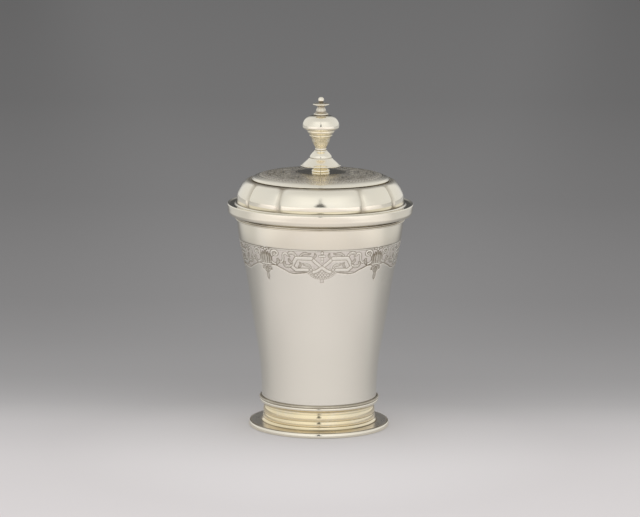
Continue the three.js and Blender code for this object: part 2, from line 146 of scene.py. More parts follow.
class Metals(bpy.types.PropertyGroup):
    silver: tone("Silver", "Colour of the white silver", (0.955, 0.925, 0.83))
    pale_gilt: tone("Pale gilding", "Colour of gilding that has worn thin", (0.96, 0.905, 0.765))
    worn_gilt: tone("Worn gilding", "Colour of the half worn gilding on the finial", (0.96, 0.875, 0.66))
    gilt: tone("Gilding", "Colour of the stronger gilding of the foot", (0.96, 0.83, 0.55))
    matted: tone("Matted ground", "Colour of the finely punched ground between ornaments", (0.72, 0.66, 0.61))
    # This colour also darkens gaps at seams and the shoulder under the top plate, as painted shade.
    tarnish_and_shade: tone("Tarnish", "Colour of the tarnish that stays in hollows", (0.17, 0.125, 0.07))
    polish: share("Polish", "Roughness of the polished gilding", 0.085)
    veil: share("Silver's polish", "Roughness of the worn white silver", 0.17)
    wear: share("Wear", "How far the gilding is rubbed through", 0.45)


class StageSizes(bpy.types.PropertyGroup):
    lens: FloatProperty(name="Lens", description="Focal length of the camera, in millimetres", default=177.19)
    distance: length("Distance", "Distance of the camera from the point that it looks at", 1670)
    height: length("Aim height", "Height of the point that the camera looks at", 89.4)
    elevation: angle("Elevation", "Angle of the camera above the horizon", 9.4)
    roll: angle("Roll", "How far the camera leans to its left", 0.4)
    tent: share("Tent", "Brightness of the white tent round the beaker", 1.0, 4.0)
    overhead: share("Overhead", "Strength of the soft lamp above the floor", 1.2, 10.0)
    paper: share("Paper", "Lightness of the paper on which the beaker stands", 0.9)
    facets: IntProperty(
        name="Columns", description="Columns of faces round the large pieces", default=264, min=24
    )


class Value:
    """A socket that carries a number, so that shader maths is written as arithmetic."""

    def __init__(self, nodes, socket):
        self.nodes, self.socket = nodes, socket

    def math(self, operation, *terms):
        return self.nodes.add("Math", {"operation": operation}, dict(enumerate(terms)))

    def __add__(self, other):
        return self.math("ADD", self, other)

    def __sub__(self, other):
        return self.math("SUBTRACT", self, other)

    def __rsub__(self, other):
        return self.math("SUBTRACT", other, self)

    def __mul__(self, other):
        return self.math("MULTIPLY", self, other)

    def __truediv__(self, other):
        return self.math("DIVIDE", self, other)

    def __pow__(self, other):
        return self.math("POWER", self, other)

    __radd__, __rmul__ = __add__, __mul__

    def size(self):
        return self.math("ABSOLUTE", self)

    def over(self, low, high):
        """0 below low, 1 above high, and smooth between them; low may be the larger of the two."""
        settings = {"interpolation_type": "SMOOTHSTEP"}
        if low < high:
            return self.nodes.add("MapRange", settings, {"Value": self, "From Min": low, "From Max": high})
        return 1 - self.over(high, low)


class Nodes:
    """A node tree under construction."""

    def __init__(self, tree):
        self.tree = tree
        tree.nodes.clear()

    def add(self, kind, settings=None, sockets=None, output=0):
        """Adds a node: its settings first, then the values or links of its sockets. Gives one output back."""
        node = self.tree.nodes.new("ShaderNode" + kind)
        for name, setting in (settings or {}).items():
            if name == "stops":
                ramp = node.color_ramp.elements
                while len(ramp) < len(setting):
                    ramp.new(0.5)
                for stop, (position, colour) in zip(ramp, setting):
                    stop.position, stop.color = position, (*colour, 1)
            else:
                setattr(node, name, setting)
        for name, value in (sockets or {}).items():
            if isinstance(value, Value):
                self.tree.links.new(value.socket, node.inputs[name])
            else:
                node.inputs[name].default_value = value
        return Value(self, node.outputs[output]) if len(node.outputs) else None

    def mix(self, first, second, factor, blend_type="MIX"):
        """Mixes two colours."""
        settings = {"data_type": "RGBA", "blend_type": blend_type}
        first, second = (c if isinstance(c, Value) else (*c, 1) for c in (first, second))
        return self.add("Mix", settings, {0: factor, 6: first, 7: second}, 2)

    def ramp(self, where, levels, warmth=0.0):
        """Greys at given values of where, and in between. Warmth makes the light ones redder."""
        low, high = levels[0][0], levels[-1][0]
        stops = [((at - low) / (high - low), (grey + warmth * grey**2, grey, grey)) for at, grey in levels]
        return self.add("ValToRGB", {"stops": stops}, {0: (where - low) / (high - low)})

    def split(self, spot):
        """The three coordinates of a point."""
        self.add("SeparateXYZ", {}, {0: spot})
        return [Value(self, axis) for axis in self.tree.nodes[-1].outputs]

    def noise(self, place, scale, detail=2.0, roughness=0.5):
        sockets = {"Vector": place, "Scale": scale, "Detail": detail, "Roughness": roughness}
        return self.add("TexNoise", {}, sockets)


def spline(knots, values):
    """A natural cubic spline through rows of values at the knots, as a function of where to read it."""
    knots, values = np.asarray(knots, float), np.asarray(values, float)
    gaps = np.diff(knots)
    slopes = np.diff(values, axis=0) / gaps[:, None]
    system, pull = np.eye(len(knots)), np.zeros_like(values)
    for i in range(1, len(knots) - 1):
        system[i, i - 1 : i + 2] = gaps[i - 1], 2 * (gaps[i - 1] + gaps[i]), gaps[i]
        pull[i] = 6 * (slopes[i] - slopes[i - 1])
    bend = np.linalg.solve(system, pull)

    def read(where):
        where = np.asarray(where, float)
        i = np.clip(np.searchsorted(knots, where) - 1, 0, len(gaps) - 1)
        gap = gaps[i][:, None]
        ahead, behind = (knots[i + 1] - where)[:, None], (where - knots[i])[:, None]
        curved = bend[i] * (ahead**3 / gap - gap * ahead) + bend[i + 1] * (behind**3 / gap - gap * behind)
        return (values[i] * ahead + values[i + 1] * behind) / gap + curved / 6

    return read


def curve(points, step):
    """A smooth curve through points, as points that lie about a step apart."""
    points = np.asarray(points, float)
    along = np.concatenate([[0], np.cumsum(np.linalg.norm(np.diff(points, axis=0), axis=1))])
    return spline(along, points)(np.linspace(0, along[-1], max(2, round(along[-1] / step) + 1)))


def eased(outline, radius, closed=True):
    """An outline with its corners rounded. A point may bring its own rounding as a third number."""
    made = []
    for i, point in enumerate(outline):
        here = np.array(point[:2], float)
        if not closed and i in (0, len(outline) - 1):
            made.append(here)
            continue
        before = np.array(outline[i - 1][:2], float) - here
        after = np.array(outline[(i + 1) % len(outline)][:2], float) - here
        a, b = np.linalg.norm(before), np.linalg.norm(after)
        turn = math.pi - math.acos(max(-1, min(1, before @ after / (a * b))))
        if turn < 0.2:
            made.append(here)
            continue
        wanted = (point[2] if len(point) > 2 else radius) * math.tan(turn / 2)
        cut = min(wanted, 0.45 * a, 0.45 * b)
        start, end = here + before / a * cut, here + after / b * cut
        for t in np.linspace(0, 1, max(2, math.ceil(turn / 0.3)) + 1):
            made.append((1 - t) ** 2 * start + 2 * t * (1 - t) * here + t**2 * end)
    return np.array(made)


def filled(outline, step, closed=True):
    """An outline with points added, so that none lie further apart than a step."""
    ends = np.vstack([outline, outline[:1]]) if closed else outline
    made = [ends[:1]]
    for start, end in zip(ends[:-1], ends[1:]):
        parts = max(1, math.ceil(np.linalg.norm(end - start) / step))
        made.append(start + (end - start) * (np.arange(1, parts + 1) / parts)[:, None])
    points = np.vstack(made)
    return points[:-1] if closed else points


# Where one piece meets another on the outside: radius, height, and how much darker the metal is made there,
# by dirt and old polish in the joint and by painted shade in the gap.
DEEP = 1.3
SEAMS = [
    (36.4 * MM, LEVELS["foot_edge_wire"][1], DEEP),
    (LEVELS["foot_spool"][2], LEVELS["foot_spool"][0], DEEP),
    # Dirt and painted shade where the collar meets the cup's wall.
    (30.9 * MM, LEVELS["foot_collar"][1], DEEP),
    # Painted shade in the gap under the cover's flange.
    (MOUTH_RADIUS + 0.5 * MM, MOUTH, DEEP),
    (LEVELS["cover_lobed_band"][2] - 0.3 * MM, FLANGE_TOP, DEEP),
    # Painted shadow under the overhanging edge of the top plate.
    (PLATE_RADIUS + 0.3 * MM, LOBES_TOP - 0.4 * MM, DEEP),
    (4.5 * MM, PLATE_TOP, 0.3),
    (3.3 * MM, LEVELS["finial_seat"][1], 0.4),
    (3.3 * MM, LEVELS["finial_bell"][1], 0.7),
    (3.0 * MM, LEVELS["finial_waist_ring"][1], 0.4),
    (6.1 * MM, LEVELS["finial_vase"][1], 0.4),
    (7.5 * MM, LEVELS["finial_vase_ring"][1], 0.5),
    (3.85 * MM, LEVELS["finial_cap"][1], DEEP),
    (3.3 * MM, LEVELS["finial_cap_ring"][1], DEEP),
    (1.0 * MM, LEVELS["finial_button"][1] - 2.8 * MM, DEEP),
]


def hollows(outline, closed=True, reach=0.8 * MM, deep=0.085 * MM, step=0.05 * MM, seam=0.45 * MM):
    """How hollow (up to 1) or how proud (down to -1) an outline is at each point, and 1 at a deep seam. It is
    traced in steps, and set against its own average over the reach."""
    outline = np.asarray(outline)
    ends = np.vstack([outline, outline[:1]]) if closed else outline
    along = np.concatenate([[0], np.cumsum(np.linalg.norm(np.diff(ends, axis=0), axis=1))])
    even = np.linspace(0, along[-1], max(8, round(along[-1] / step)), endpoint=not closed)
    path = np.stack([np.interp(even, along, ends[:, k]) for k in (0, 1)], axis=1)
    half = round(reach / step)
    window = np.hanning(2 * half + 3)[1:-1]
    window /= window.sum()
    padded = np.pad(path, ((half, half), (0, 0)), "wrap" if closed and len(path) > half else "edge")
    around = np.stack([np.convolve(padded[:, k], window, "valid") for k in (0, 1)], axis=1)
    heading = np.gradient(path, axis=0)
    heading /= np.maximum(np.linalg.norm(heading, axis=1, keepdims=True), 1e-12)
    lie = ((around - path) * np.stack([heading[:, 1], -heading[:, 0]], axis=1)).sum(axis=1)
    hollow = np.interp(along[: len(outline)], even, lie) / deep
    seams = np.array(SEAMS)
    gaps = np.linalg.norm(outline[:, None] - seams[None, :, :2], axis=2)
    dark = (seams[:, 2] * np.exp(-((gaps / seam) ** 2))).max(axis=1)
    return np.clip(np.maximum(hollow, dark), -1, 1)


def seam_at(radius, height):
    """How much a seam darkens one point, with dirt and painted shade."""
    return hollows(np.array([(radius, height)] * 2), False)[0]


def placed(inner, outer, low, high):
    """Gives a function that places a point by its share of a width and of a height."""

    def at(out, part, *rest):
        return (inner + (outer - inner) * out, low + (high - low) * part, *rest)

    return at


def strip(low, lower, high, upper):
    """The faces between a ring of points and the next: as many points, a whole multiple, or a single one."""
    if lower == upper:
        j = np.arange(lower)
        k = (j + 1) % lower
        return np.stack([low + j, low + k, high + k, high + j], axis=1).tolist()
    if upper == 1:
        return [(low + j, low + (j + 1) % lower, high) for j in range(lower)]
    if lower == 1:
        return [(low, high + (j + 1) % upper, high + j) for j in range(upper)]
    faces = []
    coarse, fine = min(lower, upper), max(lower, upper)
    times, fine_start, coarse_start = fine // coarse, (low, high)[upper > lower], (high, low)[upper > lower]
    for j in range(coarse):
        ends = (coarse_start + j, coarse_start + (j + 1) % coarse)
        points = [fine_start + (j * times + i) % fine for i in range(times + 1)]
        middle = times // 2
        fans = [(ends[i >= middle], points[i + 1], points[i]) for i in range(times)]
        fans.append((ends[0], ends[1], points[middle]))
        faces += fans if upper > lower else [face[::-1] for face in fans]
    return faces


class Rings:
    """Rings of points round the axis, in the order of an outline that goes up the outside, with the marks
    that a finish reads at each point: how hollow it is, which also carries dirt, tarnish and painted shade,
    how matted, and how gilded."""

    def __init__(self, closed=True):
        self.closed = closed
        self.points, self.marks = [], {"hollow": [], "matting": [], "gilding": []}

    def add(self, radius, height, angles, **marks):
        """Adds a ring. Angle 0 is the front, and angles grow towards the right."""
        if np.ndim(radius) == 0 and radius < 1e-7:
            angles = np.zeros(1)
        radius, height = (np.broadcast_to(n, angles.shape) for n in (radius, height))
        self.points.append(np.stack([radius * np.sin(angles), -radius * np.cos(angles), height], axis=1))
        for name, made in self.marks.items():
            made.append(np.broadcast_to(marks.get(name, 0.0), angles.shape))

    def mesh(self, name):
        counts = [len(points) for points in self.points]
        starts = [int(n) for n in np.concatenate([[0], np.cumsum(counts)])]
        order = list(range(len(counts)))
        pairs = list(zip(order, order[1:] + order[:1]))[: None if self.closed else -1]
        faces = []
        for a, b in pairs:
            faces += strip(starts[a], counts[a], starts[b], counts[b])
        mesh = bpy.data.meshes.new(name)
        mesh.from_pydata(np.vstack(self.points).tolist(), [], faces)
        for mark, made in self.marks.items():
            layer = mesh.attributes.new(mark, "FLOAT", "POINT")
            layer.data.foreach_set("value", np.concatenate(made).astype(np.float32))
        mesh.shade_smooth()
        mesh.set_sharp_from_angle(angle=math.radians(38))
        mesh.validate()
        return mesh


def turn_round(columns):
    return np.arange(columns) * (2 * math.pi / columns)


def added(name, data):
    """A new object in the scene."""
    made = bpy.data.objects.new(name, data)
    bpy.context.scene.collection.objects.link(made)
    return made


def body_of(node):
    return next(body for body, nodes in frame["record"]["behaviour"]["bodies"].items() if node in nodes)


def slot_of(node):
    return next(part["material_slot"] for part in frame["record"]["subparts"] if part["node"] == node)


def place(name, rings, node, finish):
    """Makes the piece that stands for a CAD node."""
    piece = added(name, rings.mesh(name))
    piece.data.materials.append(finish)
    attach(piece, body_of(node))
    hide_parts(node)
    slot_of(node)
    return piece


def turned(
    name, outline, node, finish, columns, step=0.4 * MM, closed=True, darkened=((0, 0),), matting=0.0
):
    """Turns a closed outline round the axis, or one that starts and ends on it. The table of heights that it
    is given says how much darker the metal is made at each."""
    outline = filled(np.asarray(outline, float), step, closed)
    rings = Rings(closed)
    angles = turn_round(columns)
    levels, amounts = zip(*darkened)
    for (radius, height), hollow in zip(outline, hollows(outline, closed)):
        dirt_and_shade = min(1, hollow + np.interp(height, levels, amounts))
        rings.add(radius, height, angles, hollow=dirt_and_shade, matting=matting)
    return place(name, rings, node, finish)


def metal(name, metals, colour, second=None, gilt_inside=None):
    """Old polished metal. Where a second colour is given, the gilding mark says where it lies."""
    finish = bpy.data.materials.get(name)
    if finish:
        return finish
    finish = bpy.data.materials.new(name)
    finish.use_nodes = True
    nodes = Nodes(finish.node_tree)
    spot = nodes.add("TexCoord", output="Object")
    hollow, matting, gilding = (
        nodes.add("Attribute", {"attribute_name": mark}, output="Fac")
        for mark in ("hollow", "matting", "gilding")
    )
    x, y, z = nodes.split(spot)
    cloud = nodes.noise(spot, 55.0, 3.0)
    fleck = nodes.noise(spot, 420.0, 3.0, 0.6)
    # Hair lines from wiping round the piece, and a few slanting scratches.
    around = x.math("ARCTAN2", x, y)
    wiped = nodes.add("CombineXYZ", {}, {0: around * 5.0, 1: fleck * 0.7, 2: z * 2600.0})
    hair = nodes.noise(wiped, 1.0, 2.0)
    slant = {0: x * 1900.0 + z * 900.0, 1: y * 1900.0 - z * 300.0, 2: z * 160.0}
    rub = nodes.add("CombineXYZ", {}, slant)
    scratch = nodes.noise(rub, 1.0, 1.0).over(0.66, 0.74)

    shade = colour
    if second:
        rubbed = (cloud * 1.2 + fleck * 0.5).over(0.95, 1.25) * metals.wear
        shade = nodes.mix(colour, second, (gilding * 2.0).over(0.2, 0.8) * (1 - rubbed))
        shade = nodes.mix(shade, gilt_inside, gilding.over(0.7, 0.9))
    pale = nodes.mix(shade, metals.silver, (cloud + fleck * 0.6).over(0.72, 1.0) * metals.wear * 0.6)
    ground = nodes.mix(pale, metals.matted, matting.over(0.0, 1.0) * 0.56)
    # Hollows, seams and darkened bands go towards the tarnish colour: tarnish and dirt, and painted shade in
    # gaps and under overhangs.
    dirt_and_shade = hollow.over(0.15, 1.0) * (0.55 + cloud.over(0.3, 0.7) * 0.45)
    colour_now = nodes.mix(ground, metals.tarnish_and_shade, dirt_and_shade * 0.85)
    bloom = (fleck + cloud).over(1.05, 1.35) * 0.05
    base = metals.veil if colour == tuple(metals.silver) else metals.polish
    roughness = base + hair * 0.05 + scratch * 0.04 + bloom + dirt_and_shade * 0.3 + matting * 0.17
    if second:
        roughness = roughness - gilding.over(0.1, 0.4) * (metals.veil - metals.polish)
    stipple = nodes.add("TexVoronoi", {}, {"Vector": spot, "Scale": 1900.0})
    relief = cloud + fleck * 0.1 + hair * 0.012 - scratch * 0.02 + stipple * matting * 0.5
    bump = nodes.add("Bump", {}, {"Strength": 0.35, "Distance": 0.04 * MM, "Height": relief})
    sockets = {"Base Color": colour_now, "Metallic": 1.0, "Roughness": roughness, "Normal": bump}
    nodes.add("OutputMaterial", {}, {"Surface": nodes.add("BsdfPrincipled", {}, sockets)})
    return finish


def silver(metals):
    return metal("worn_silver", metals, tuple(metals.silver))


def pale_gilt(metals):
    return metal("pale_worn_gilding", metals, tuple(metals.pale_gilt))


def worn_gilt(metals):
    return metal("worn_gilding", metals, tuple(metals.worn_gilt))


def gilt(metals):
    return metal("silver_gilt", metals, tuple(metals.gilt))


def parcel_gilt(metals):
    colours = (tuple(colour) for colour in (metals.silver, metals.pale_gilt, metals.gilt))
    return metal("parcel_gilt_silver", metals, *colours)


class Chasing:
    """Ornament cut into a surface. It is drawn in millimetres on an array of points, and gives how deep a cut
    line each has and how far it is matted."""

    def __init__(self, across, up):
        self.across, self.up = across, up
        self.line_depth, self.matting = np.zeros(across.shape), np.zeros(across.shape)

    def near(self, path):
        """Each point's distance from a path, and how far along the path its nearest point is, from 0 to 1."""
        path = np.asarray(path, float)
        steps = np.linalg.norm(np.diff(path, axis=0), axis=1)
        along = np.concatenate([[0], np.cumsum(steps)])
        best, where = np.full(self.across.shape, 1e9), np.zeros(self.across.shape)
        for i, ((x0, y0), (x1, y1)) in enumerate(zip(path[:-1], path[1:])):
            dx, dy = x1 - x0, y1 - y0
            t = np.clip(((self.across - x0) * dx + (self.up - y0) * dy) / max(steps[i] ** 2, 1e-12), 0, 1)
            gap = np.hypot(self.across - x0 - t * dx, self.up - y0 - t * dy)
            closer = gap < best
            best = np.where(closer, gap, best)
            where = np.where(closer, (along[i] + t * steps[i]) / along[-1], where)
        return best, where

    def cut(self, gap, width, depth=1.0):
        """A cut with rounded sides wherever the gap to its middle is less than half its width."""
        profile = np.where(gap < width / 2, 0.5 + 0.5 * np.cos(2 * math.pi * gap / width), 0)
        self.line_depth = np.maximum(self.line_depth, profile * depth)

    def line(self, path, width=0.65, depth=1.0):
        self.cut(self.near(path)[0], width, depth)

    def matt(self, inside, amount=1.0):
        self.matting = np.where(inside, amount, self.matting)

    def polish(self, inside):
        self.line_depth, self.matting = (np.where(inside, 0, f) for f in (self.line_depth, self.matting))

    def strap(self, path, width, edge=0.75):
        """A polished strap between two cut lines, over what it crosses."""
        gap, _ = self.near(path)
        self.polish(gap < width / 2)
        self.cut(np.abs(gap - width / 2), edge)

    def leaf(self, path, width, edge=0.6, vein=True):
        """A polished leaf that swells from its root and ends in a point."""
        gap, where = self.near(path)
        root = 0.18
        half = width / 2 * np.sin(math.pi * np.clip(root + (1 - root) * where, 0, 1)) ** 0.7
        self.polish(gap < half)
        self.cut(np.where(half > 0.08, np.abs(gap - half), 9), edge)
        if vein:
            self.cut(np.where((where > 0.1) & (where < 0.8), gap, 9), 0.38, 0.7)

    def bead(self, x, y, radius, edge=0.4):
        gap = np.hypot(self.across - x, self.up - y)
        self.polish(gap < radius)
        self.cut(np.abs(gap - radius), edge)

    def dot(self, x, y, radius=0.3):
        self.cut(np.hypot(self.across - x, self.up - y), 2 * radius)


def coil(x, y, start_radius, end_radius, start, end, points=28):
    """A spiral round a point, from one angle to another, in degrees."""
    turn = np.radians(np.linspace(start, end, points))
    radius = np.linspace(start_radius, end_radius, points)
    return np.stack([x + radius * np.cos(turn), y + radius * np.sin(turn)], axis=1)


# Half the length of one repeat of the band's pattern, in millimetres.
HALF_REPEAT = 30.4


def chase_band(across, up):
    """Half a repeat of the band's pattern, from where the straps cross, at 0, to the middle of a palmette."""
    chasing = Chasing(across, up)
    middle, fine = HALF_REPEAT, 0.42

    def leaves(*rows, vein=True):
        """Curved leaves: each gives its width, and then points from its root to its tip."""
        for width, *points in rows:
            chasing.leaf(curve(points, 0.3), width, vein=vein)

    edge = np.array([
        (-9.2, 88.7), (-6, 86.3), (-3, 85.3), (3, 85.3), (6, 86.3), (9.2, 88.7), (14, 88.1), (19, 88.3),
        (21.5, 89.6), (23.5, 90.5), (26, 91.6), (28.1, 91.3), (29, 89.4), (middle, 86.6), (31.8, 89.4),
    ])
    inside = (up > np.interp(across, edge[:, 0], edge[:, 1])) & (up < 99.9)
    chasing.matt(inside)
    loop = [(6.3, 96.2), (14.7, 96.2), (17.5, 91.6), (15.2, 89.7), (8.6, 90.0)]
    in_loop = (up > 90.3) & (up < 96) & (across > 5.5) & (across < 16.2)
    chasing.matt(in_loop & inside, 0.45)

    scales = (up < 91.3) & (np.abs(across) < 9.5) & inside
    diaper, pitch = Chasing(across, up), 1.9
    for k in range(-6, 12):
        diaper.line([(-10 + pitch * k, 80), (10 + pitch * k, 100)], fine, 0.7)
        diaper.line([(10 - pitch * k, 80), (-10 - pitch * k, 100)], fine, 0.7)
    for row in range(5):
        for k in range(7):
            diaper.dot(pitch * (k + row % 2 / 2), 90.5 - pitch / 2 * row, 0.32)
    chasing.matt(scales, 0.35)
    chasing.line_depth = np.maximum(chasing.line_depth, np.where(scales, diaper.line_depth, 0))

    for x, y in curve([(0, 85.4), (2.2, 85.5), (4.4, 86.0), (6.4, 87.0), (8.3, 88.5)], 1.12):
        chasing.bead(x, y, 0.52, 0.34)
    for way in (1, -1):
        crossing = [(-5.2, 88.7), (-3.2, 89.3), (0, 91.3), (3.4, 93.8), (6.3, 96.2)]
        chasing.strap([(way * x, y) for x, y in crossing], 1.7)
    chasing.strap(loop, 1.9)
    leaves(
        (1.3, (6.6, 91.2), (8.4, 92.6), (10.2, 92.6), (11.4, 93.8)),
        (1.1, (13.6, 91.4), (12.4, 92.9), (13.4, 94.2)),
    )

    chasing.strap([(0, 94.4), (0, 99.6)], 1.3, fine)
    chasing.strap([(-1.7, 97.5), (1.7, 97.5)], 1.0, fine)
    for height in (94.6, 96.0, 99.1):
        chasing.bead(0, height, 0.75)
    chasing.matt((np.abs(across) < 1.05) & (up > 83.1) & (up < 85.1), 0.8)
    chasing.line([(-1.05, 85.1), (-1.05, 83.1), (1.05, 83.1), (1.05, 85.1)], 0.4, 0.8)

    lower_edge = [
        (9.4, 88.5), (14, 87.9), (19.2, 88.2), (21.6, 89.5), (23.6, 90.4), (26, 91.5), (28.2, 91.2),
    ]
    chasing.line(curve(lower_edge, 0.5), 0.95)
    chasing.line([(13.9, 88.8), (18.6, 88.9)], 0.4)
    leaves(
        (1.5, (17.6, 92.2), (19.3, 91.3), (20.9, 91.9), (21.3, 93.3), (20.4, 94.0)),
        (1.5, (14.8, 97.4), (16.4, 98.7), (18.2, 98.6), (18.8, 97.2), (17.8, 96.6)),
        (1.2, (17.2, 93.4), (18.5, 94.6), (18.6, 95.9)),
        (1.2, (12.4, 97.6), (10.2, 98.7), (7.8, 98.5), (6.2, 99.1)),
        (1.1, (4.9, 96.6), (3.9, 97.9), (4.6, 99.2)),
    )
    hook = [(19.4, 97.4), (20.2, 98.5), (21.3, 98.0), (21.6, 96.2), (22.0, 94.2), (23.0, 93.2), (23.9, 94.2)]
    chasing.strap(curve(hook, 0.3), 0.95, fine)

    leaves((1.2, (24.4, 94.9), (24.4, 93.2), (25.6, 92.2), (26.6, 93.0)))
    sweep = [(27.5, 96.6), (27.9, 94.6), (27.3, 92.9), (25.7, 92.1)]
    chasing.strap(np.vstack([coil(25.6, 97.8, 0.3, 1.95, 480, -40), curve(sweep, 0.3)]), 1.05, fine)
    chasing.bead(25.6, 97.8, 0.55)
    for offset, low, high, width in ((2.4, 92.4, 97.6, 1.15), (1.25, 92.2, 98.5, 1.25), (0, 92.0, 99.0, 1.3)):
        for side in (-1, 1):
            chasing.leaf([(middle + side * offset * 0.8, low), (middle + side * offset, high)], width)
    for side in (-1, 1):
        leaves(
            (1.0, (middle, 99.3), (middle + side * 1.3, 100.1), (middle + side * 2.3, 99.5)),
            (0.9, (middle, 88.6), (middle + side * 1.9, 89.9), (middle + side * 2.3, 88.4)),
            vein=False,
        )
    chasing.bead(middle, 99.5, 0.7)
    chasing.strap([(middle - 2.3, 91.6), (middle + 2.3, 91.6)], 0.9, fine)
    lozenge = [(middle + x, y) for x, y in ((0, 91.0), (-1.6, 89.2), (0, 86.7), (1.6, 89.2), (0, 91.0))]
    chasing.strap(lozenge, 0.6, fine)
    chasing.leaf([(middle, 87.3), (middle, 90.3)], 1.1)
    chasing.leaf([(middle, 86.6), (middle, 83.1)], 1.2)
    chasing.dot(middle, 82.6, 0.35)

    border = ~((np.abs(across - middle) < 1.9) & (up > 99.2))
    chasing.cut(np.where(border, np.abs(up - 100.55), 9), 0.75)
    chasing.cut(np.where(border, np.abs(up - 99.75), 9), 0.4, 0.7)
    return chasing


def fine_blur(field):
    """A field softened by a small bell-shaped window, in both directions."""
    window = np.exp(-np.linspace(-2, 2, 5) ** 2)
    window /= window.sum()
    half = len(window) // 2
    for axis in (0, 1):
        padded = np.pad(field, [(half, half) if k == axis else (0, 0) for k in (0, 1)], "edge")
        field = np.apply_along_axis(lambda row: np.convolve(row, window, "valid"), axis, padded)
    return field


class BEAKER_OT_vessel(bpy.types.Operator):
    """Raise the cup, chase its band and gild its lip and inside"""

    bl_idname = "beaker.vessel"
    bl_label = "Vessel"

    def execute(self, context):
        sizes, metals = context.scene.beaker_vessel, context.scene.beaker_metals
        coarse = context.scene.beaker_stage.facets
        shares, flare = zip(*WALL_FLARE)
        radii = sizes.base_radius + (MOUTH_RADIUS - sizes.base_radius) * np.array(flare)
        wall = spline(BASE + (MOUTH - BASE) * np.array(shares), radii[:, None])

        # The band is drawn in millimetres, on cells that reach a little beyond half a repeat.
        cell, beyond = 0.1, 0.5
        across = np.arange(-0.6, HALF_REPEAT + 0.65, cell)
        up = np.arange(sizes.band_low / MM - beyond, sizes.band_high / MM + beyond, cell)
        chasing = chase_band(*np.meshgrid(across, up))
        fields = [fine_blur(field) for field in (chasing.line_depth, chasing.matting)]

        def read(field, where, height):
            """A drawn field at places between its points."""
            i = np.clip(((where - across[0]) / cell).astype(int), 0, len(across) - 2)
            j = int(min(max((height - up[0]) / cell, 0), len(up) - 2))
            s, t = (where - across[i]) / cell, (height - up[j]) / cell
            lower, upper = (field[k, i] * (1 - s) + field[k, i + 1] * s for k in (j, j + 1))
            return lower * (1 - t) + upper * t

        angles = {columns: turn_round(columns) for columns in (coarse, coarse * 4)}
        # The repeats were set out by eye, and are a little uneven in length.
        turned_by = angles[coarse * 4] - sizes.turn
        uneven = 0.0098 * np.sin(2 * turned_by) + 0.032 * np.sin(4 * turned_by)
        phase = (turned_by / (math.pi / 2) + uneven) % 1
        where = 2 * HALF_REPEAT * np.minimum(phase, 1 - phase)

        rings = Rings(closed=False)

        def plain(height, gilding=0.0):
            """A plain ring of the outside, darkened with the dirt and painted shade of any seam that is near.
            """
            here = (wall([height])[0, 0], height)
            rings.add(*here, angles[coarse], gilding=gilding, hollow=seam_at(*here))

        edge = sizes.base_radius
        underside = eased([(0, BASE), (edge, BASE), (edge, BASE + 2 * MM)], 0.5 * MM, False)
        for radius, height in filled(underside, 6 * MM, False)[:-1]:
            rings.add(radius, height, angles[coarse])
        collar_top = LEVELS["foot_collar"][1]
        low, high = sizes.band_low, sizes.band_high
        heights = np.concatenate([
            [BASE + 1.2 * MM, collar_top - 0.6 * MM, collar_top],
            collar_top + np.array([0.2, 0.45, 0.8, 1.3]) * MM,
            np.linspace(collar_top + 2.4 * MM, low - 0.3 * MM, 32),
        ])
        for height in heights:
            plain(height)
        row = 0.27 * MM
        for height in np.linspace(low, high, round((high - low) / row) + 1):
            line, matting = (read(field, where, height / MM) for field in fields)
            fade = min(1, (height - low) / MM, (high - height) / (0.2 * MM))
            depth = (line * sizes.depth + matting * GROUND_DEPTH) * fade
            marks = {"hollow": np.minimum(line * 2.2, 1) * fade, "matting": matting * fade}
            gilding = 0.5 * float(np.clip((height - sizes.gilt_from) / (0.3 * MM) + 0.5, 0, 1))
            rings.add(wall([height])[0, 0] - depth, height, angles[coarse * 4], gilding=gilding, **marks)
        lip_low = LEVELS["lip_moulding"][0]
        below_rim = MOUTH - 0.25 * MM
        gilded = np.linspace(high + 0.3 * MM, lip_low - 0.8 * MM, 7)
        for height in [*gilded, lip_low - 0.3 * MM, lip_low, below_rim]:
            plain(height, 0.5)

        def inside(height):
            return wall([height])[0, 0] - sizes.wall

        floor, bore = BASE + sizes.floor, inside(MOUTH)
        rim = [(MOUTH_RADIUS, below_rim), (MOUTH_RADIUS, MOUTH), (bore, MOUTH), (bore, MOUTH - MM)]
        rim = eased(rim, 0.2 * MM, False)
        down = [(inside(height), height) for height in np.linspace(MOUTH - 2 * MM, floor + 3 * MM, 28)]
        bottom = eased([down[-1], (inside(floor), floor), (0, floor)], 1.6 * MM, False)
        for radius, height in [*rim[1:], *down[:-1], *filled(bottom, 5 * MM, False)]:
            rings.add(radius, height, angles[coarse], gilding=1.0)
        place("vessel_cup", rings, "vessel", parcel_gilt(metals))
        return {"FINISHED"}


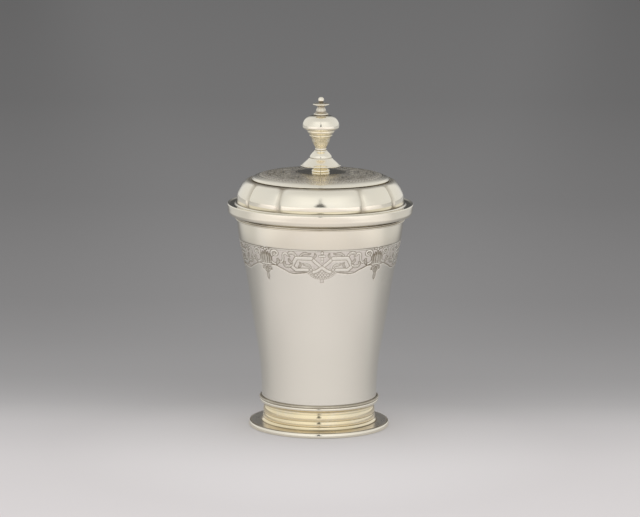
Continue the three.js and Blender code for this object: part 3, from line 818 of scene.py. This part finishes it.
class BEAKER_OT_foot(bpy.types.Operator):
    """Make the foot: its edge wire, spreading plate, gilt spool and the collar round the cup's base"""

    bl_idname = "beaker.foot"
    bl_label = "Foot"

    def execute(self, context):
        sizes, metals = context.scene.beaker_foot, context.scene.beaker_metals
        columns = context.scene.beaker_stage.facets

        wire_low, wire_high, wire_radius = LEVELS["foot_edge_wire"]
        tall = wire_high - wire_low
        plate_low, plate_high, _ = LEVELS["foot_plate"]
        inner, ledge = wire_radius - sizes.wire_width, wire_radius - sizes.wire_width / 2
        roll = curve([
            (inner + sizes.bearing, wire_low), (wire_radius - 0.05 * MM, wire_low + tall * 0.08),
            (wire_radius, wire_low + tall * 0.32), (wire_radius - 0.12 * MM, wire_low + tall * 0.7),
            (ledge + 0.38 * MM, wire_high), (ledge + 0.1 * MM, wire_high - 0.12 * MM),
        ], 0.16 * MM)
        outline = [(inner, wire_low), *roll, (ledge, plate_low), (inner, plate_low)]
        turned("edge_wire", eased(outline, 0.1 * MM), "foot_edge_wire", pale_gilt(metals), columns, 0.3 * MM)

        rim, under = ledge - 0.05 * MM, plate_high - sizes.sheet
        outline = [
            (sizes.spool_inner, under), (sizes.plate_seat, under), (inner, plate_low), (rim, plate_low),
            (rim, plate_low + sizes.sheet), (sizes.plate_seat, plate_high), (sizes.spool_inner, plate_high),
        ]
        outline = eased(outline, 0.12 * MM)
        turned("spreading_plate", outline, "foot_plate", pale_gilt(metals), columns, 0.7 * MM, matting=1.0)

        low, high, base = LEVELS["foot_spool"]
        # Points by their distance from the neck in millimetres, and their share of the height.
        at = placed(sizes.neck, sizes.neck + MM, low, high)
        reeds = [
            [(base, low), (base, low + 0.2 * MM)]
            + [at(1.42, 0.045), at(1.2, 0.07), at(0.98, 0.1), at(0.78, 0.135)],
            [at(0.64, 0.15), at(0.86, 0.19), at(0.95, 0.25), at(0.9, 0.32), at(0.74, 0.385), at(0.58, 0.425)],
            [at(0.54, 0.44), at(0.78, 0.485), at(0.87, 0.55), at(0.8, 0.63), at(0.6, 0.71), at(0.36, 0.765)],
            [at(0.32, 0.775), at(0.1, 0.82), at(0.0, 0.87), at(0.1, 0.92), at(0.45, 0.96), at(0.85, 0.982)],
            [at(0.89, 0.987), at(0.9, 1.0)],
        ]
        outside = [point for reed in reeds for point in curve(reed, 0.22 * MM)]
        bore = sizes.spool_inner
        inside = [(bore + 0.55 * MM, high), (bore, high - 1.2 * MM), (bore, low)]
        _, below_neck = at(0, 0.78)
        # A narrow ring at the neck is made darker.
        darkening = ((below_neck - 0.7 * MM, 0), (below_neck, 0.6), (below_neck + 0.5 * MM, 0))
        outline = eased([*outside, *inside], 0.08 * MM)
        turned("reeded_spool", outline, "foot_spool", gilt(metals), columns, 0.5 * MM, darkened=darkening)

        low, high, wide = LEVELS["foot_collar"]
        seat = context.scene.beaker_vessel.base_radius
        inner = seat + 0.28 * MM
        # Points by their share of the width, and their height in millimetres.
        at = placed(seat, wide, low, low + MM)
        roll = curve([
            at(0.35, 0.0), at(0.62, 0.14), at(0.8, 0.55), at(0.84, 1.0), at(0.76, 1.4), at(0.6, 1.68),
        ], 0.14 * MM)
        bead = curve([
            at(0.6, 1.77), at(0.85, 1.9), at(0.98, 2.12), at(1.0, 2.3), at(0.92, 2.58), at(0.66, 2.83),
            at(0.42, 2.95),
        ], 0.14 * MM)
        outline = [(inner, low), *roll, *bead, (inner, high)]
        # The bead and the groove below it are made darker.
        worn, darkening = pale_gilt(metals), ((low + 1.2 * MM, 0), (low + 1.9 * MM, 0.65))
        turned("base_collar", eased(outline, 0.05 * MM), "foot_collar", worn, columns, darkened=darkening)
        return {"FINISHED"}


class BEAKER_OT_lip(bpy.types.Operator):
    """Make the reeded moulding round the mouth"""

    bl_idname = "beaker.lip"
    bl_label = "Lip moulding"

    def execute(self, context):
        low, high, wide = LEVELS["lip_moulding"]
        inner = MOUTH_RADIUS + 0.05 * MM
        at = placed(inner, wide, low, high)
        reed = [(0.35, 0.02), (0.85, 0.1), (1.0, 0.25), (0.85, 0.4), (0.35, 0.48)]
        outline = [(inner, low)]
        for start in (0.0, 0.5):
            outline += list(curve([at(out, start + part) for out, part in reed], 0.1 * MM))
        outline = eased([*outline, (inner, high)], 0.04 * MM)
        finish = pale_gilt(context.scene.beaker_metals)
        columns = context.scene.beaker_stage.facets
        # The whole moulding is made darker, most at its top.
        darkening = ((low, 0.45), (high, 0.6))
        turned("reeded_lip", outline, "lip_moulding", finish, columns, 0.3 * MM, darkened=darkening)
        return {"FINISHED"}


class BEAKER_OT_flange(bpy.types.Operator):
    """Make the cover's flange, and the bezel that drops into the mouth"""

    bl_idname = "beaker.flange"
    bl_label = "Flange and bezel"

    def execute(self, context):
        sizes, metals = context.scene.beaker_cover, context.scene.beaker_metals
        columns = context.scene.beaker_stage.facets
        low, high, wide = LEVELS["cover_flange"]
        inner = LEVELS["cover_bezel"][2] + 0.05 * MM
        rest = MOUTH_RADIUS + 0.6 * MM
        seat = LEVELS["cover_lobed_band"][2] + 0.6 * MM
        sheet = 0.9 * MM
        at = placed(rest, wide, low, high)
        face = curve([
            at(0.85, 0.21), at(0.925, 0.33), at(0.962, 0.52), at(0.985, 0.7), at(1.0, 0.87), at(0.985, 0.95),
            at(0.92, 0.99),
        ], 0.3 * MM)
        outline = [
            (inner, low), (rest, low, 0.3 * MM), at(0.7, 0.12), at(0.82, 0.18, 0.3 * MM), *face,
            at(0.62, 0.92, 1.5 * MM), (seat + 0.7 * MM, high - 0.6 * MM, 0.5 * MM), (seat, high, 0.2 * MM),
            (inner, high), (inner, high - sheet), (seat, high - 1.5 * MM), at(0.72, 0.775), at(0.62, 0.29),
            (rest, low + sheet), (inner, low + sheet),
        ]
        outline = eased(outline, 0.12 * MM)
        turned("hollow_flange", outline, "cover_flange", pale_gilt(metals), columns, 0.5 * MM)

        low, high, wide = LEVELS["cover_bezel"]
        end, thick = wide - 0.85 * MM, sizes.bezel_wall
        outline = [
            (end - thick, low), (end - 0.3 * MM, low), (end, low + 0.6 * MM),
            (wide, MOUTH, 4 * MM), (wide, high), (wide - thick, high), (wide - thick, MOUTH, 4 * MM),
        ]
        turned("drawn_bezel", eased(outline, 0.12 * MM), "cover_bezel", gilt(metals), columns, 0.8 * MM)
        return {"FINISHED"}


class BEAKER_OT_lobes(bpy.types.Operator):
    """Raise the cover's lobed band, with its wide and narrow lobes and the channels between them"""

    bl_idname = "beaker.lobes"
    bl_label = "Lobed band"

    def execute(self, context):
        sizes = context.scene.beaker_cover
        low, high, wide = LEVELS["cover_lobed_band"]
        sheet = sizes.sheet
        shoulder, inner = PLATE_RADIUS + 1.3 * MM, PLATE_RADIUS - 3.4 * MM
        half = sizes.channel_width / 2 / wide
        channels = [
            quarter * math.pi / 2 + side * sizes.wide_lobe / 2 for quarter in range(4) for side in (-1, 1)
        ]

        def gap_to_channel(angles):
            gaps = angles[:, None] - np.array(channels)[None]
            return np.abs((gaps + math.pi) % (2 * math.pi) - math.pi).min(axis=1)

        fine = [channel + half * k / 9 for channel in channels for k in range(-9, 10)]
        even = turn_round(240)
        kept = even[gap_to_channel(even) > half + 0.012]
        angles = np.sort(np.concatenate([kept, np.array(fine)]) % (2 * math.pi))
        apart = gap_to_channel(angles)
        groove = np.where(apart < half, 0.5 + 0.5 * np.cos(math.pi * apart / half), 0) ** 0.85
        fallen = np.exp(-apart * wide / sizes.swell_reach)
        # The channels are darkened, partly by tarnish and partly by painted shade; near the foot of the band
        # tarnish gathers in patches and beside them.
        shaded = np.exp(-((apart * wide / (2.3 * MM)) ** 2))
        patchy = 0.22 + 0.12 * np.sin(9 * angles + 2)
        darkness = np.exp(-((apart * wide / (7 * MM)) ** 2))
        middle = np.abs((angles + math.pi / 4) % (math.pi / 2) - math.pi / 4)
        beyond = 1 - np.exp(-((middle * wide / sizes.flat_reach) ** 2))

        # The third number of a point is how far it takes part in the lobes; 1 mm is the whole way.
        def at(part, height, depth):
            return (wide + (shoulder - wide) * part, low + (high - low) * height, depth * MM)

        outside = curve([
            (wide - 0.2 * MM, low, 0.6 * MM), at(0.0, 0.14, 0.85), at(0.0, 0.3, 1), at(0.045, 0.42, 1),
            at(0.16, 0.55, 1), at(0.36, 0.735, 1), at(0.62, 0.9, 0.9), at(0.82, 0.97, 0.55),
            (shoulder - 0.1 * MM, high, 0.3 * MM),
        ], 0.35 * MM)
        sunk = high - 0.5 * MM
        moat = [
            (shoulder - 0.35 * MM, high - 0.06 * MM, 0.2 * MM),
            (shoulder - 0.8 * MM, high - 0.42 * MM, 0.1 * MM),
            (shoulder - 1.5 * MM, sunk, 0), (shoulder - 2.6 * MM, sunk, 0),
        ]
        inside = curve([
            (shoulder - sheet / 2, high - sheet, 0.5 * MM), at(0.56, 0.78, 1), at(0.3, 0.62, 1),
            at(0.16, 0.4, 1), (wide - 0.35 * MM - sheet, low, 0.5 * MM),
        ], 0.8 * MM)
        top = [(shoulder - 3.0 * MM, high, 0), (inner + 0.1 * MM, high, 0)]
        back = [(inner, high - 0.1 * MM, 0), (inner, high - sheet, 0)]
        section = np.array([*outside, *moat, *top, *back, *inside])
        rings = Rings()
        for (radius, height, depth), hollow in zip(section, hollows(section[:, :2])):
            cut = (groove * sizes.channel_depth + fallen * sizes.swell - beyond * sizes.flatness) * depth / MM
            near_foot = math.exp(-max(0, height - low) / (1.1 * MM))
            # Painted shadow under the top plate's overhanging edge, darkest just below it.
            below = max(0, high - height) / MM
            painted_shadow_under_plate = 0.7 * math.exp(-((below / 0.75) ** 2)) + 0.15 * math.exp(-below / 2.5)
            at_foot = (shaded * 0.2 + darkness * 0.5 + patchy) * near_foot
            dirt_and_shade = hollow + shaded * 0.55 + at_foot + painted_shadow_under_plate
            rings.add(radius - cut, height, angles, hollow=np.clip(dirt_and_shade, -1, 1))
        place("lobed_band", rings, "cover_lobed_band", pale_gilt(context.scene.beaker_metals))
        return {"FINISHED"}


def chase_plate(across, up):
    """One half of an eighth of the top plate's pattern. The axis of the cover is at 0, 0, and +up is the
    middle of the eighth."""
    chasing = Chasing(across, up)
    radius = np.hypot(across, up)
    side = math.tan(math.pi / 8)

    def mirrored(path):
        """The same path seen from the next eighth."""
        return [((y - x) * math.sqrt(0.5), (y + x) * math.sqrt(0.5)) for x, y in path]

    chasing.matt((radius > 13.6) & (radius < 32.3))
    for path, width in (
        ([(0, 28.2), (4.4, 27.8), (6.6, 23.2), (4.2, 20.0), (0, 19.6)], 1.3),
        ([(0, 23.8), (3.2, 24.6), (7.0, 26.9), (11.4, 26.4)], 1.1),
    ):
        chasing.strap(path, width)
        chasing.strap([(-x, y) for x, y in path], width)
        chasing.strap(mirrored(path), width)
    for path, width in (
        ([(0, 14.6), (0, 18.4)], 2.2),
        ([(0.4, 14.8), (1.9, 15.6), (2.9, 17.4)], 1.3),
        ([(0, 20.9), (0, 23.0)], 1.5),
        ([(0, 24.9), (0, 27.2)], 1.6),
        ([(1.6, 21.3), (3.4, 22.3), (3.2, 23.6)], 1.3),
        ([(1.8, 26.6), (3.4, 26.2), (4.2, 24.9)], 1.2),
        ([(5.0, 18.0), (6.6, 19.4), (7.4, 21.6)], 1.5),
        ([(side * 15.5, 15.5), (side * 18.5, 18.5)], 1.8),
        ([(side * 22.5, 22.5), (side * 26.0, 26.0)], 1.9),
        ([(6.9, 24.6), (8.4, 24.2), (9.2, 22.8)], 1.2),
    ):
        for way in (path, [(-x, y) for x, y in path], mirrored(path)):
            chasing.leaf(curve(way, 0.4), width)
    chasing.bead(0, 29.0, 0.6)
    for turn in np.arange(0, math.pi / 8 + 0.01, math.pi / 48):
        chasing.bead(31.2 * math.sin(turn), 31.2 * math.cos(turn), 0.75, 0.5)
    chasing.bead(0, 19.6, 0.8)
    chasing.bead(side * 20.4, 20.4, 0.9)
    for ring, width in ((13.2, 0.4), (12.3, 0.5), (30.1, 0.5), (32.5, 0.6), (33.3, 0.4)):
        chasing.cut(np.abs(radius - ring), width, 0.85)
    return chasing


class BEAKER_OT_top_plate(bpy.types.Operator):
    """Make the cover's engraved top plate, with its bright overhanging edge"""

    bl_idname = "beaker.top_plate"
    bl_label = "Top plate"

    def execute(self, context):
        sizes = context.scene.beaker_cover
        low, high, wide = LEVELS["cover_top_plate"]
        rise = high - low
        # Rings of few points are plain, and rings of many carry the engraving.
        coarse, turn = turn_round(180), turn_round(720)
        crown = spline(
            np.array([5.7, 11, 18.1, 26.8, 31.86, 35.1]) * MM,
            (low + np.array([1, 0.985, 0.96, 0.84, 0.63, 0.34]) * rise)[:, None],
        )
        eighth = np.abs((turn + math.pi / 8) % (math.pi / 4) - math.pi / 8)
        # The engraved rings in millimetres, from the plate's edge inwards.
        radii = np.arange(34.3, 11.2, -0.3)
        half_cell = np.unique(eighth.round(9))
        grid_radius, grid_turn = np.meshgrid(radii, half_cell, indexing="ij")
        chasing = chase_plate(grid_radius * np.sin(grid_turn), grid_radius * np.cos(grid_turn))
        columns_at = np.searchsorted(half_cell, eighth.round(9))

        rings = Rings()
        bore, seat = context.scene.beaker_finial.bore, wide - 3.4 * MM
        edge = curve([
            (wide - 0.8 * MM, low), (wide - 0.1 * MM, low + 0.18 * MM), (wide, low + 0.38 * MM),
            (wide - 0.12 * MM, low + 0.6 * MM), (wide - 0.4 * MM, low + 0.8 * MM),
        ], 0.12 * MM)
        rim = [(seat, low), *edge, *[(r * MM, crown([r * MM])[0, 0]) for r in (35.3, 34.9, 34.6)]]
        under = [
            (bore, high), (bore, high - 0.85 * MM), (6.2 * MM, high - 0.85 * MM),
            (18 * MM, high - 1.05 * MM), (26.8 * MM, high - 1.55 * MM), (31.8 * MM, high - 2.5 * MM),
            (seat, low + 0.8 * MM),
        ]
        for (radius, height), hollow in zip(rim, hollows(np.array(rim), False)):
            rings.add(radius, height, coarse, hollow=hollow)
        for radius, lines, mattings in zip(radii * MM, chasing.line_depth, chasing.matting):
            line, matting = lines[columns_at], mattings[columns_at]
            height = crown([radius])[0, 0] - line * sizes.chasing - matting * GROUND_DEPTH
            rings.add(radius, height, turn, hollow=np.minimum(line * 4.5, 1), matting=matting)
        for radius in (11.0, 10.0, 8.6, 7.2, 5.9):
            rings.add(radius * MM, crown([radius * MM])[0, 0], coarse)
        for radius in (5.3, 4.9, 4.4, 3.0):
            rings.add(radius * MM, high, coarse, hollow=seam_at(radius * MM, high))
        for radius, height in filled(eased(under, 0.2 * MM, False), 3 * MM, False):
            rings.add(radius, height, coarse, gilding=1.0)
        place("engraved_top_plate", rings, "cover_top_plate", pale_gilt(context.scene.beaker_metals))
        return {"FINISHED"}


class BEAKER_OT_finial(bpy.types.Operator):
    """Turn the pieces of the finial"""

    bl_idname = "beaker.finial"
    bl_label = "Finial"

    def execute(self, context):
        metals, bore = context.scene.beaker_metals, context.scene.beaker_finial.bore
        columns, step = context.scene.beaker_stage.facets // 2, 0.35 * MM

        def member(name, node, parts, finish, darkness=0.0):
            """One member, from runs of points given as shares of its radius and height."""
            low, high, wide = LEVELS[node]
            at = placed(0, wide, low, high)
            outline = [(bore, low)]
            for run in parts:
                points = [at(out, part) for out, part in run]
                outline += list(curve(points, 0.22 * MM)) if len(points) > 2 else points
            outline.append((bore, high))
            turned(name, eased(outline, 0.15 * MM), node, finish, columns, step, darkened=((low, darkness),))

        pale, worn = pale_gilt(metals), worn_gilt(metals)
        member("seat_ring", "finial_seat", [[
            (0.95, 0), (0.99, 0.1), (1, 0.24), (0.98, 0.38), (0.91, 0.5), (0.81, 0.61), (0.73, 0.74),
            (0.7, 0.88), (0.7, 1),
        ]], pale)
        member("bell", "finial_bell", [
            [(0.4, 0), (0.94, 0.02)],
            [(0.97, 0.025), (1.0, 0.06), (0.98, 0.095)],
            [(0.955, 0.105), (0.905, 0.145), (0.85, 0.2), (0.795, 0.265), (0.73, 0.335), (0.665, 0.405),
             (0.61, 0.465), (0.588, 0.5)],
            [(0.58, 0.51), (0.555, 0.52)],
            [(0.548, 0.53), (0.546, 0.58), (0.535, 0.63), (0.508, 0.69), (0.468, 0.75), (0.43, 0.81),
             (0.376, 0.875), (0.325, 0.94), (0.31, 1)],
        ], pale)
        member("waist_ring", "finial_waist_ring", [
            [(0.9, 0), (0.98, 0.2), (1, 0.5), (0.98, 0.8), (0.9, 1)],
        ], pale)
        member("vase", "finial_vase", [
            [(0.49, 0), (0.538, 0.1), (0.598, 0.2), (0.667, 0.3), (0.718, 0.4), (0.762, 0.5), (0.795, 0.6),
             (0.833, 0.7), (0.877, 0.8), (0.92, 0.86)],
            [(0.965, 0.88), (1, 0.93), (0.99, 1)],
        ], worn)
        member("vase_ring", "finial_vase_ring", [
            [(0.84, 0), (0.875, 0.2), (0.955, 0.4)],
            [(0.97, 0.45), (0.99, 0.6), (1, 0.8), (0.99, 1)],
        ], worn)
        member("knop_cap", "finial_cap", [
            [(0.803, 0), (0.86, 0.04), (0.933, 0.09)],
            [(0.965, 0.13), (0.99, 0.17), (1, 0.23), (1, 0.36), (0.992, 0.42), (0.978, 0.5), (0.955, 0.565),
             (0.93, 0.63), (0.9, 0.695), (0.855, 0.765), (0.79, 0.84), (0.715, 0.9), (0.62, 0.955),
             (0.53, 0.985), (0.446, 1)],
        ], pale)
        # The cap ring is made a little darker all over.
        member("cap_ring", "finial_cap_ring", [
            [(0.9, 0), (0.97, 0.15), (1, 0.4), (0.97, 0.65), (0.86, 0.85), (0.82, 1)],
        ], pale, 0.3)

        low, high, wide = LEVELS["finial_button"]
        stem_top, bead = low + 3.6 * MM, 1.55 * MM
        middle = high - bead
        waisted = curve([(x * MM, low + z * MM) for x, z in (
            (3.2, 0), (2.68, 0.45), (2.62, 1.1), (2.36, 1.9), (2.0, 2.7), (1.97, 3.05), (2.3, 3.4),
            (2.85, 3.6),
        )], 0.2 * MM)
        disc = curve([(wide * r, stem_top + z * MM) for r, z in (
            (0.8, 0.25), (0.96, 0.45), (1, 0.7), (0.95, 0.98), (0.8, 1.2),
        )], 0.15 * MM)
        neck = [(x * MM, stem_top + z * MM) for x, z in ((2.7, 1.38), (1.5, 1.62), (0.95, 1.74))]
        turns = np.radians(range(-50, 90, 10))
        ball = [(bead * math.cos(turn), middle + bead * math.sin(turn)) for turn in turns]
        outline = [(0, stem_top), (bore, stem_top), (bore, low), *waisted, *disc, *neck, *ball, (0, high)]
        # Darker along the stem, and from above the disc to the lower half of the ball.
        darkening = (
            (low, 0.55), (stem_top - 0.7 * MM, 0.5), (stem_top - 0.3 * MM, 0), (stem_top + 0.9 * MM, 0),
            (stem_top + 1.3 * MM, 0.9), (middle - bead * 0.7, 0.9), (middle - bead * 0.1, 0),
        )
        turned("button", eased(outline, 0.1 * MM, False), "finial_button", pale, columns, step, False, darkening)
        return {"FINISHED"}


class BEAKER_OT_fastening(bpy.types.Operator):
    """Make the threaded rod, the washer and the nut that hold the finial"""

    bl_idname = "beaker.fastening"
    bl_label = "Rod, washer and nut"

    def execute(self, context):
        sizes, metals = context.scene.beaker_finial, context.scene.beaker_metals
        low, high, wide = LEVELS["finial_rod"]
        finish = silver(metals)
        angles = turn_round(48)
        rings = Rings(closed=False)
        rings.add(0, low, angles)
        rings.add(wide * 0.72, low, angles)
        pitch, thread_end = sizes.thread_pitch, low + 6 * MM
        thread = np.arange(low + 0.2 * MM, thread_end, pitch / 8)
        for height in [*thread, *np.linspace(thread_end + 0.1 * MM, high, 12)]:
            sunk = np.abs((height / pitch - angles / (2 * math.pi)) % 1 - 0.5)
            sunk = sunk * np.clip((thread_end - height) / (0.5 * MM), 0, 1)
            rings.add(wide - sunk * 2 * sizes.thread_depth, height, angles, hollow=sunk)
        rings.add(0, high, angles)
        place("threaded_rod", rings, "finial_rod", finish)

        low, high, wide = LEVELS["finial_washer"]
        outline = [(sizes.bore, low), (wide, low), (wide, high), (sizes.bore, high)]
        turned("washer", eased(outline, 0.12 * MM), "finial_washer", finish, 96, 0.6 * MM)

        low, high, _ = LEVELS["finial_nut"]
        half_across_flats = 3.0 * MM
        angles = turn_round(144)
        flat = half_across_flats / np.cos((angles + math.pi / 6) % (math.pi / 3) - math.pi / 6)
        tall = high - low
        rings = Rings()
        # Up to the middle: a share of the height, and the radius in mm past which the corners are turned
        # away. At 9 mm they stay whole.
        bevel = ((0, 2.85), (0.03, 2.95), (0.14, 3.3), (0.2, 9), (0.5, 9))
        for part, reach in (*bevel, *((1 - part, reach) for part, reach in bevel[-2::-1])):
            rings.add(np.minimum(flat, reach * MM), low + tall * part, angles)
        for radius, part in ((1.35, 1), (1.12, 0.93), (1.12, 0.5), (1.12, 0.07), (1.35, 0)):
            rings.add(radius * MM, low + tall * part, angles)
        place("hex_nut", rings, "finial_nut", finish)
        return {"FINISHED"}


class BEAKER_OT_stage(bpy.types.Operator):
    """Set the pale floor, with a falloff and a pool of light painted on it, the soft light and the camera"""

    bl_idname = "beaker.stage"
    bl_label = "Floor, light and camera"

    def execute(self, context):
        stage = context.scene.beaker_stage
        near, far, half = -3.0, 7.0, 5.0
        corners = [(-half, near, 0), (half, near, 0), (half, far, 0), (-half, far, 0)]
        mesh = bpy.data.meshes.new("floor")
        mesh.from_pydata(corners, [], [(0, 1, 2, 3)])
        floor = added("floor", mesh)
        paper = bpy.data.materials.new("paper_with_painted_light")
        paper.use_nodes = True
        nodes = Nodes(paper.node_tree)
        x, y, _ = nodes.split(nodes.add("TexCoord", output="Object"))
        # Painted falloff of light: the paper is painted darker away from the camera.
        painted_falloff = nodes.ramp(y, [
            (-1.4, 0.93), (-0.5, 0.82), (-0.33, 0.745), (-0.2, 0.655), (-0.087, 0.61), (0.008, 0.5),
            (0.06, 0.38), (0.114, 0.322), (0.235, 0.28), (0.37, 0.249), (0.82, 0.2), (1.52, 0.166),
            (5.0, 0.125),
        ], warmth=0.07)
        # Half the width of floor that the camera sees grows with the distance from it.
        width_seen = (y + 1.65) * 0.1016
        off = x.size() - y.math("MAXIMUM", width_seen, 0.2)
        # Painted light: the paper is made lighter beyond the width that the camera sees.
        painted_side_light = off.over(0.0, 0.2) * (y.over(-0.1, 0.35) * 0.15 + 0.19)
        # Painted falloff of light towards the edges of the width that the camera sees.
        painted_side_falloff = (x.size() - width_seen).over(-0.16, 0.0) * y.over(0.0, 0.35) * 0.025
        # A painted pool of light on the paper round the foot.
        painted_light_pool = (x * x + (y + 0.06) ** 2.0).over(0.02, 0.0) * 0.07
        lit = nodes.mix(painted_falloff, (1, 1, 1), painted_side_light + painted_light_pool, "ADD")
        lit = nodes.mix(lit, (1, 1, 1), painted_side_falloff, "SUBTRACT")
        tone_now = nodes.mix((0, 0, 0), lit, stage.paper)
        matt = {"Base Color": tone_now, "Roughness": 0.9, "Specular IOR Level": 0.0}
        nodes.add("OutputMaterial", {}, {"Surface": nodes.add("BsdfPrincipled", {}, matt)})
        mesh.materials.append(paper)

        world = bpy.data.worlds.new("tent")
        context.scene.world = world
        world.use_nodes = True
        nodes = Nodes(world.node_tree)
        # The tent's greys at heights in degrees: in front, at the sides and at the back. A dark gap lies in
        # the middle of its front.
        x, y, z = nodes.split(nodes.add("TexCoord", output="Generated"))
        degrees = 180 / math.pi
        height = z.math("ARCSINE", z) * degrees
        side = (x.math("ARCTAN2", x, 0 - y) * degrees).size()
        front, sides, back = (nodes.ramp(height, [*greys, (90, 0.66)]) for greys in (
            ((-10, 0.9), (20, 0.95), (45, 0.98), (52, 0.9), (60, 0.79), (70, 0.71)),
            ((-10, 0.72), (20, 0.75), (60, 0.7)),
            ((-10, 0.07), (12, 0.075), (20, 0.16), (30, 0.32), (40, 0.48), (50, 0.58)),
        ))
        tent = nodes.mix(nodes.mix(front, sides, side.over(20, 90)), back, side.over(154, 179))
        gap = ((55 - height) * 0.09 - side).over(-0.4, 0.4) * height.over(2, 7)
        light = nodes.mix(tent, (0.09, 0.09, 0.09), gap)
        background = nodes.add("Background", {}, {"Color": light, "Strength": stage.tent})
        nodes.add("OutputWorld", {}, {"Surface": background})

        # The large lamp above the tent lights the floor, and no metal mirrors it.
        data = bpy.data.lights.new("overhead", "SUN")
        data.energy, data.angle = stage.overhead, math.radians(100)
        overhead = added("overhead", data)
        overhead.visible_glossy = False
        overhead.visible_camera = False

        data = bpy.data.cameras.new("camera")
        camera = added("camera", data)
        data.lens, data.sensor_width = stage.lens, 36
        data.clip_start, data.clip_end = 0.05, 50
        aim = Vector((0, 0, stage.height))
        back_off = Vector((0, -math.cos(stage.elevation), math.sin(stage.elevation)))
        turn = (-back_off).to_track_quat("-Z", "Y").to_matrix().to_4x4() @ Matrix.Rotation(stage.roll, 4, "Z")
        camera.matrix_world = Matrix.Translation(aim + back_off * stage.distance) @ turn
        context.scene.camera = camera
        context.scene.view_settings.view_transform = "Standard"
        return {"FINISHED"}


GROUPS = {
    "beaker_vessel": VesselSizes,
    "beaker_foot": FootSizes,
    "beaker_cover": CoverSizes,
    "beaker_finial": FinialSizes,
    "beaker_metals": Metals,
    "beaker_stage": StageSizes,
}
OPERATORS = (
    BEAKER_OT_stage,
    BEAKER_OT_foot,
    BEAKER_OT_vessel,
    BEAKER_OT_lip,
    BEAKER_OT_flange,
    BEAKER_OT_lobes,
    BEAKER_OT_top_plate,
    BEAKER_OT_finial,
    BEAKER_OT_fastening,
)


class BEAKER_PT_pieces(bpy.types.Panel):
    """The sizes and finishes of the beaker, and its pieces"""

    bl_label = "Covered Beaker"
    bl_space_type = "VIEW_3D"
    bl_region_type = "UI"
    bl_category = "Beaker"

    def draw(self, context):
        for name, group in GROUPS.items():
            box = self.layout.box()
            for setting in group.__annotations__:
                box.prop(getattr(context.scene, name), setting)
        for operator in OPERATORS:
            self.layout.operator(operator.bl_idname)


def register():
    for kind in (*GROUPS.values(), *OPERATORS, BEAKER_PT_pieces):
        bpy.utils.register_class(kind)
    for name, group in GROUPS.items():
        setattr(bpy.types.Scene, name, PointerProperty(type=group))


def unregister():
    for name in GROUPS:
        delattr(bpy.types.Scene, name)
    for kind in reversed((*GROUPS.values(), *OPERATORS, BEAKER_PT_pieces)):
        bpy.utils.unregister_class(kind)


def main():
    register()
    for operator in OPERATORS:
        getattr(bpy.ops.beaker, operator.bl_idname.split(".")[1])()


if __name__ == "__main__":
    main()
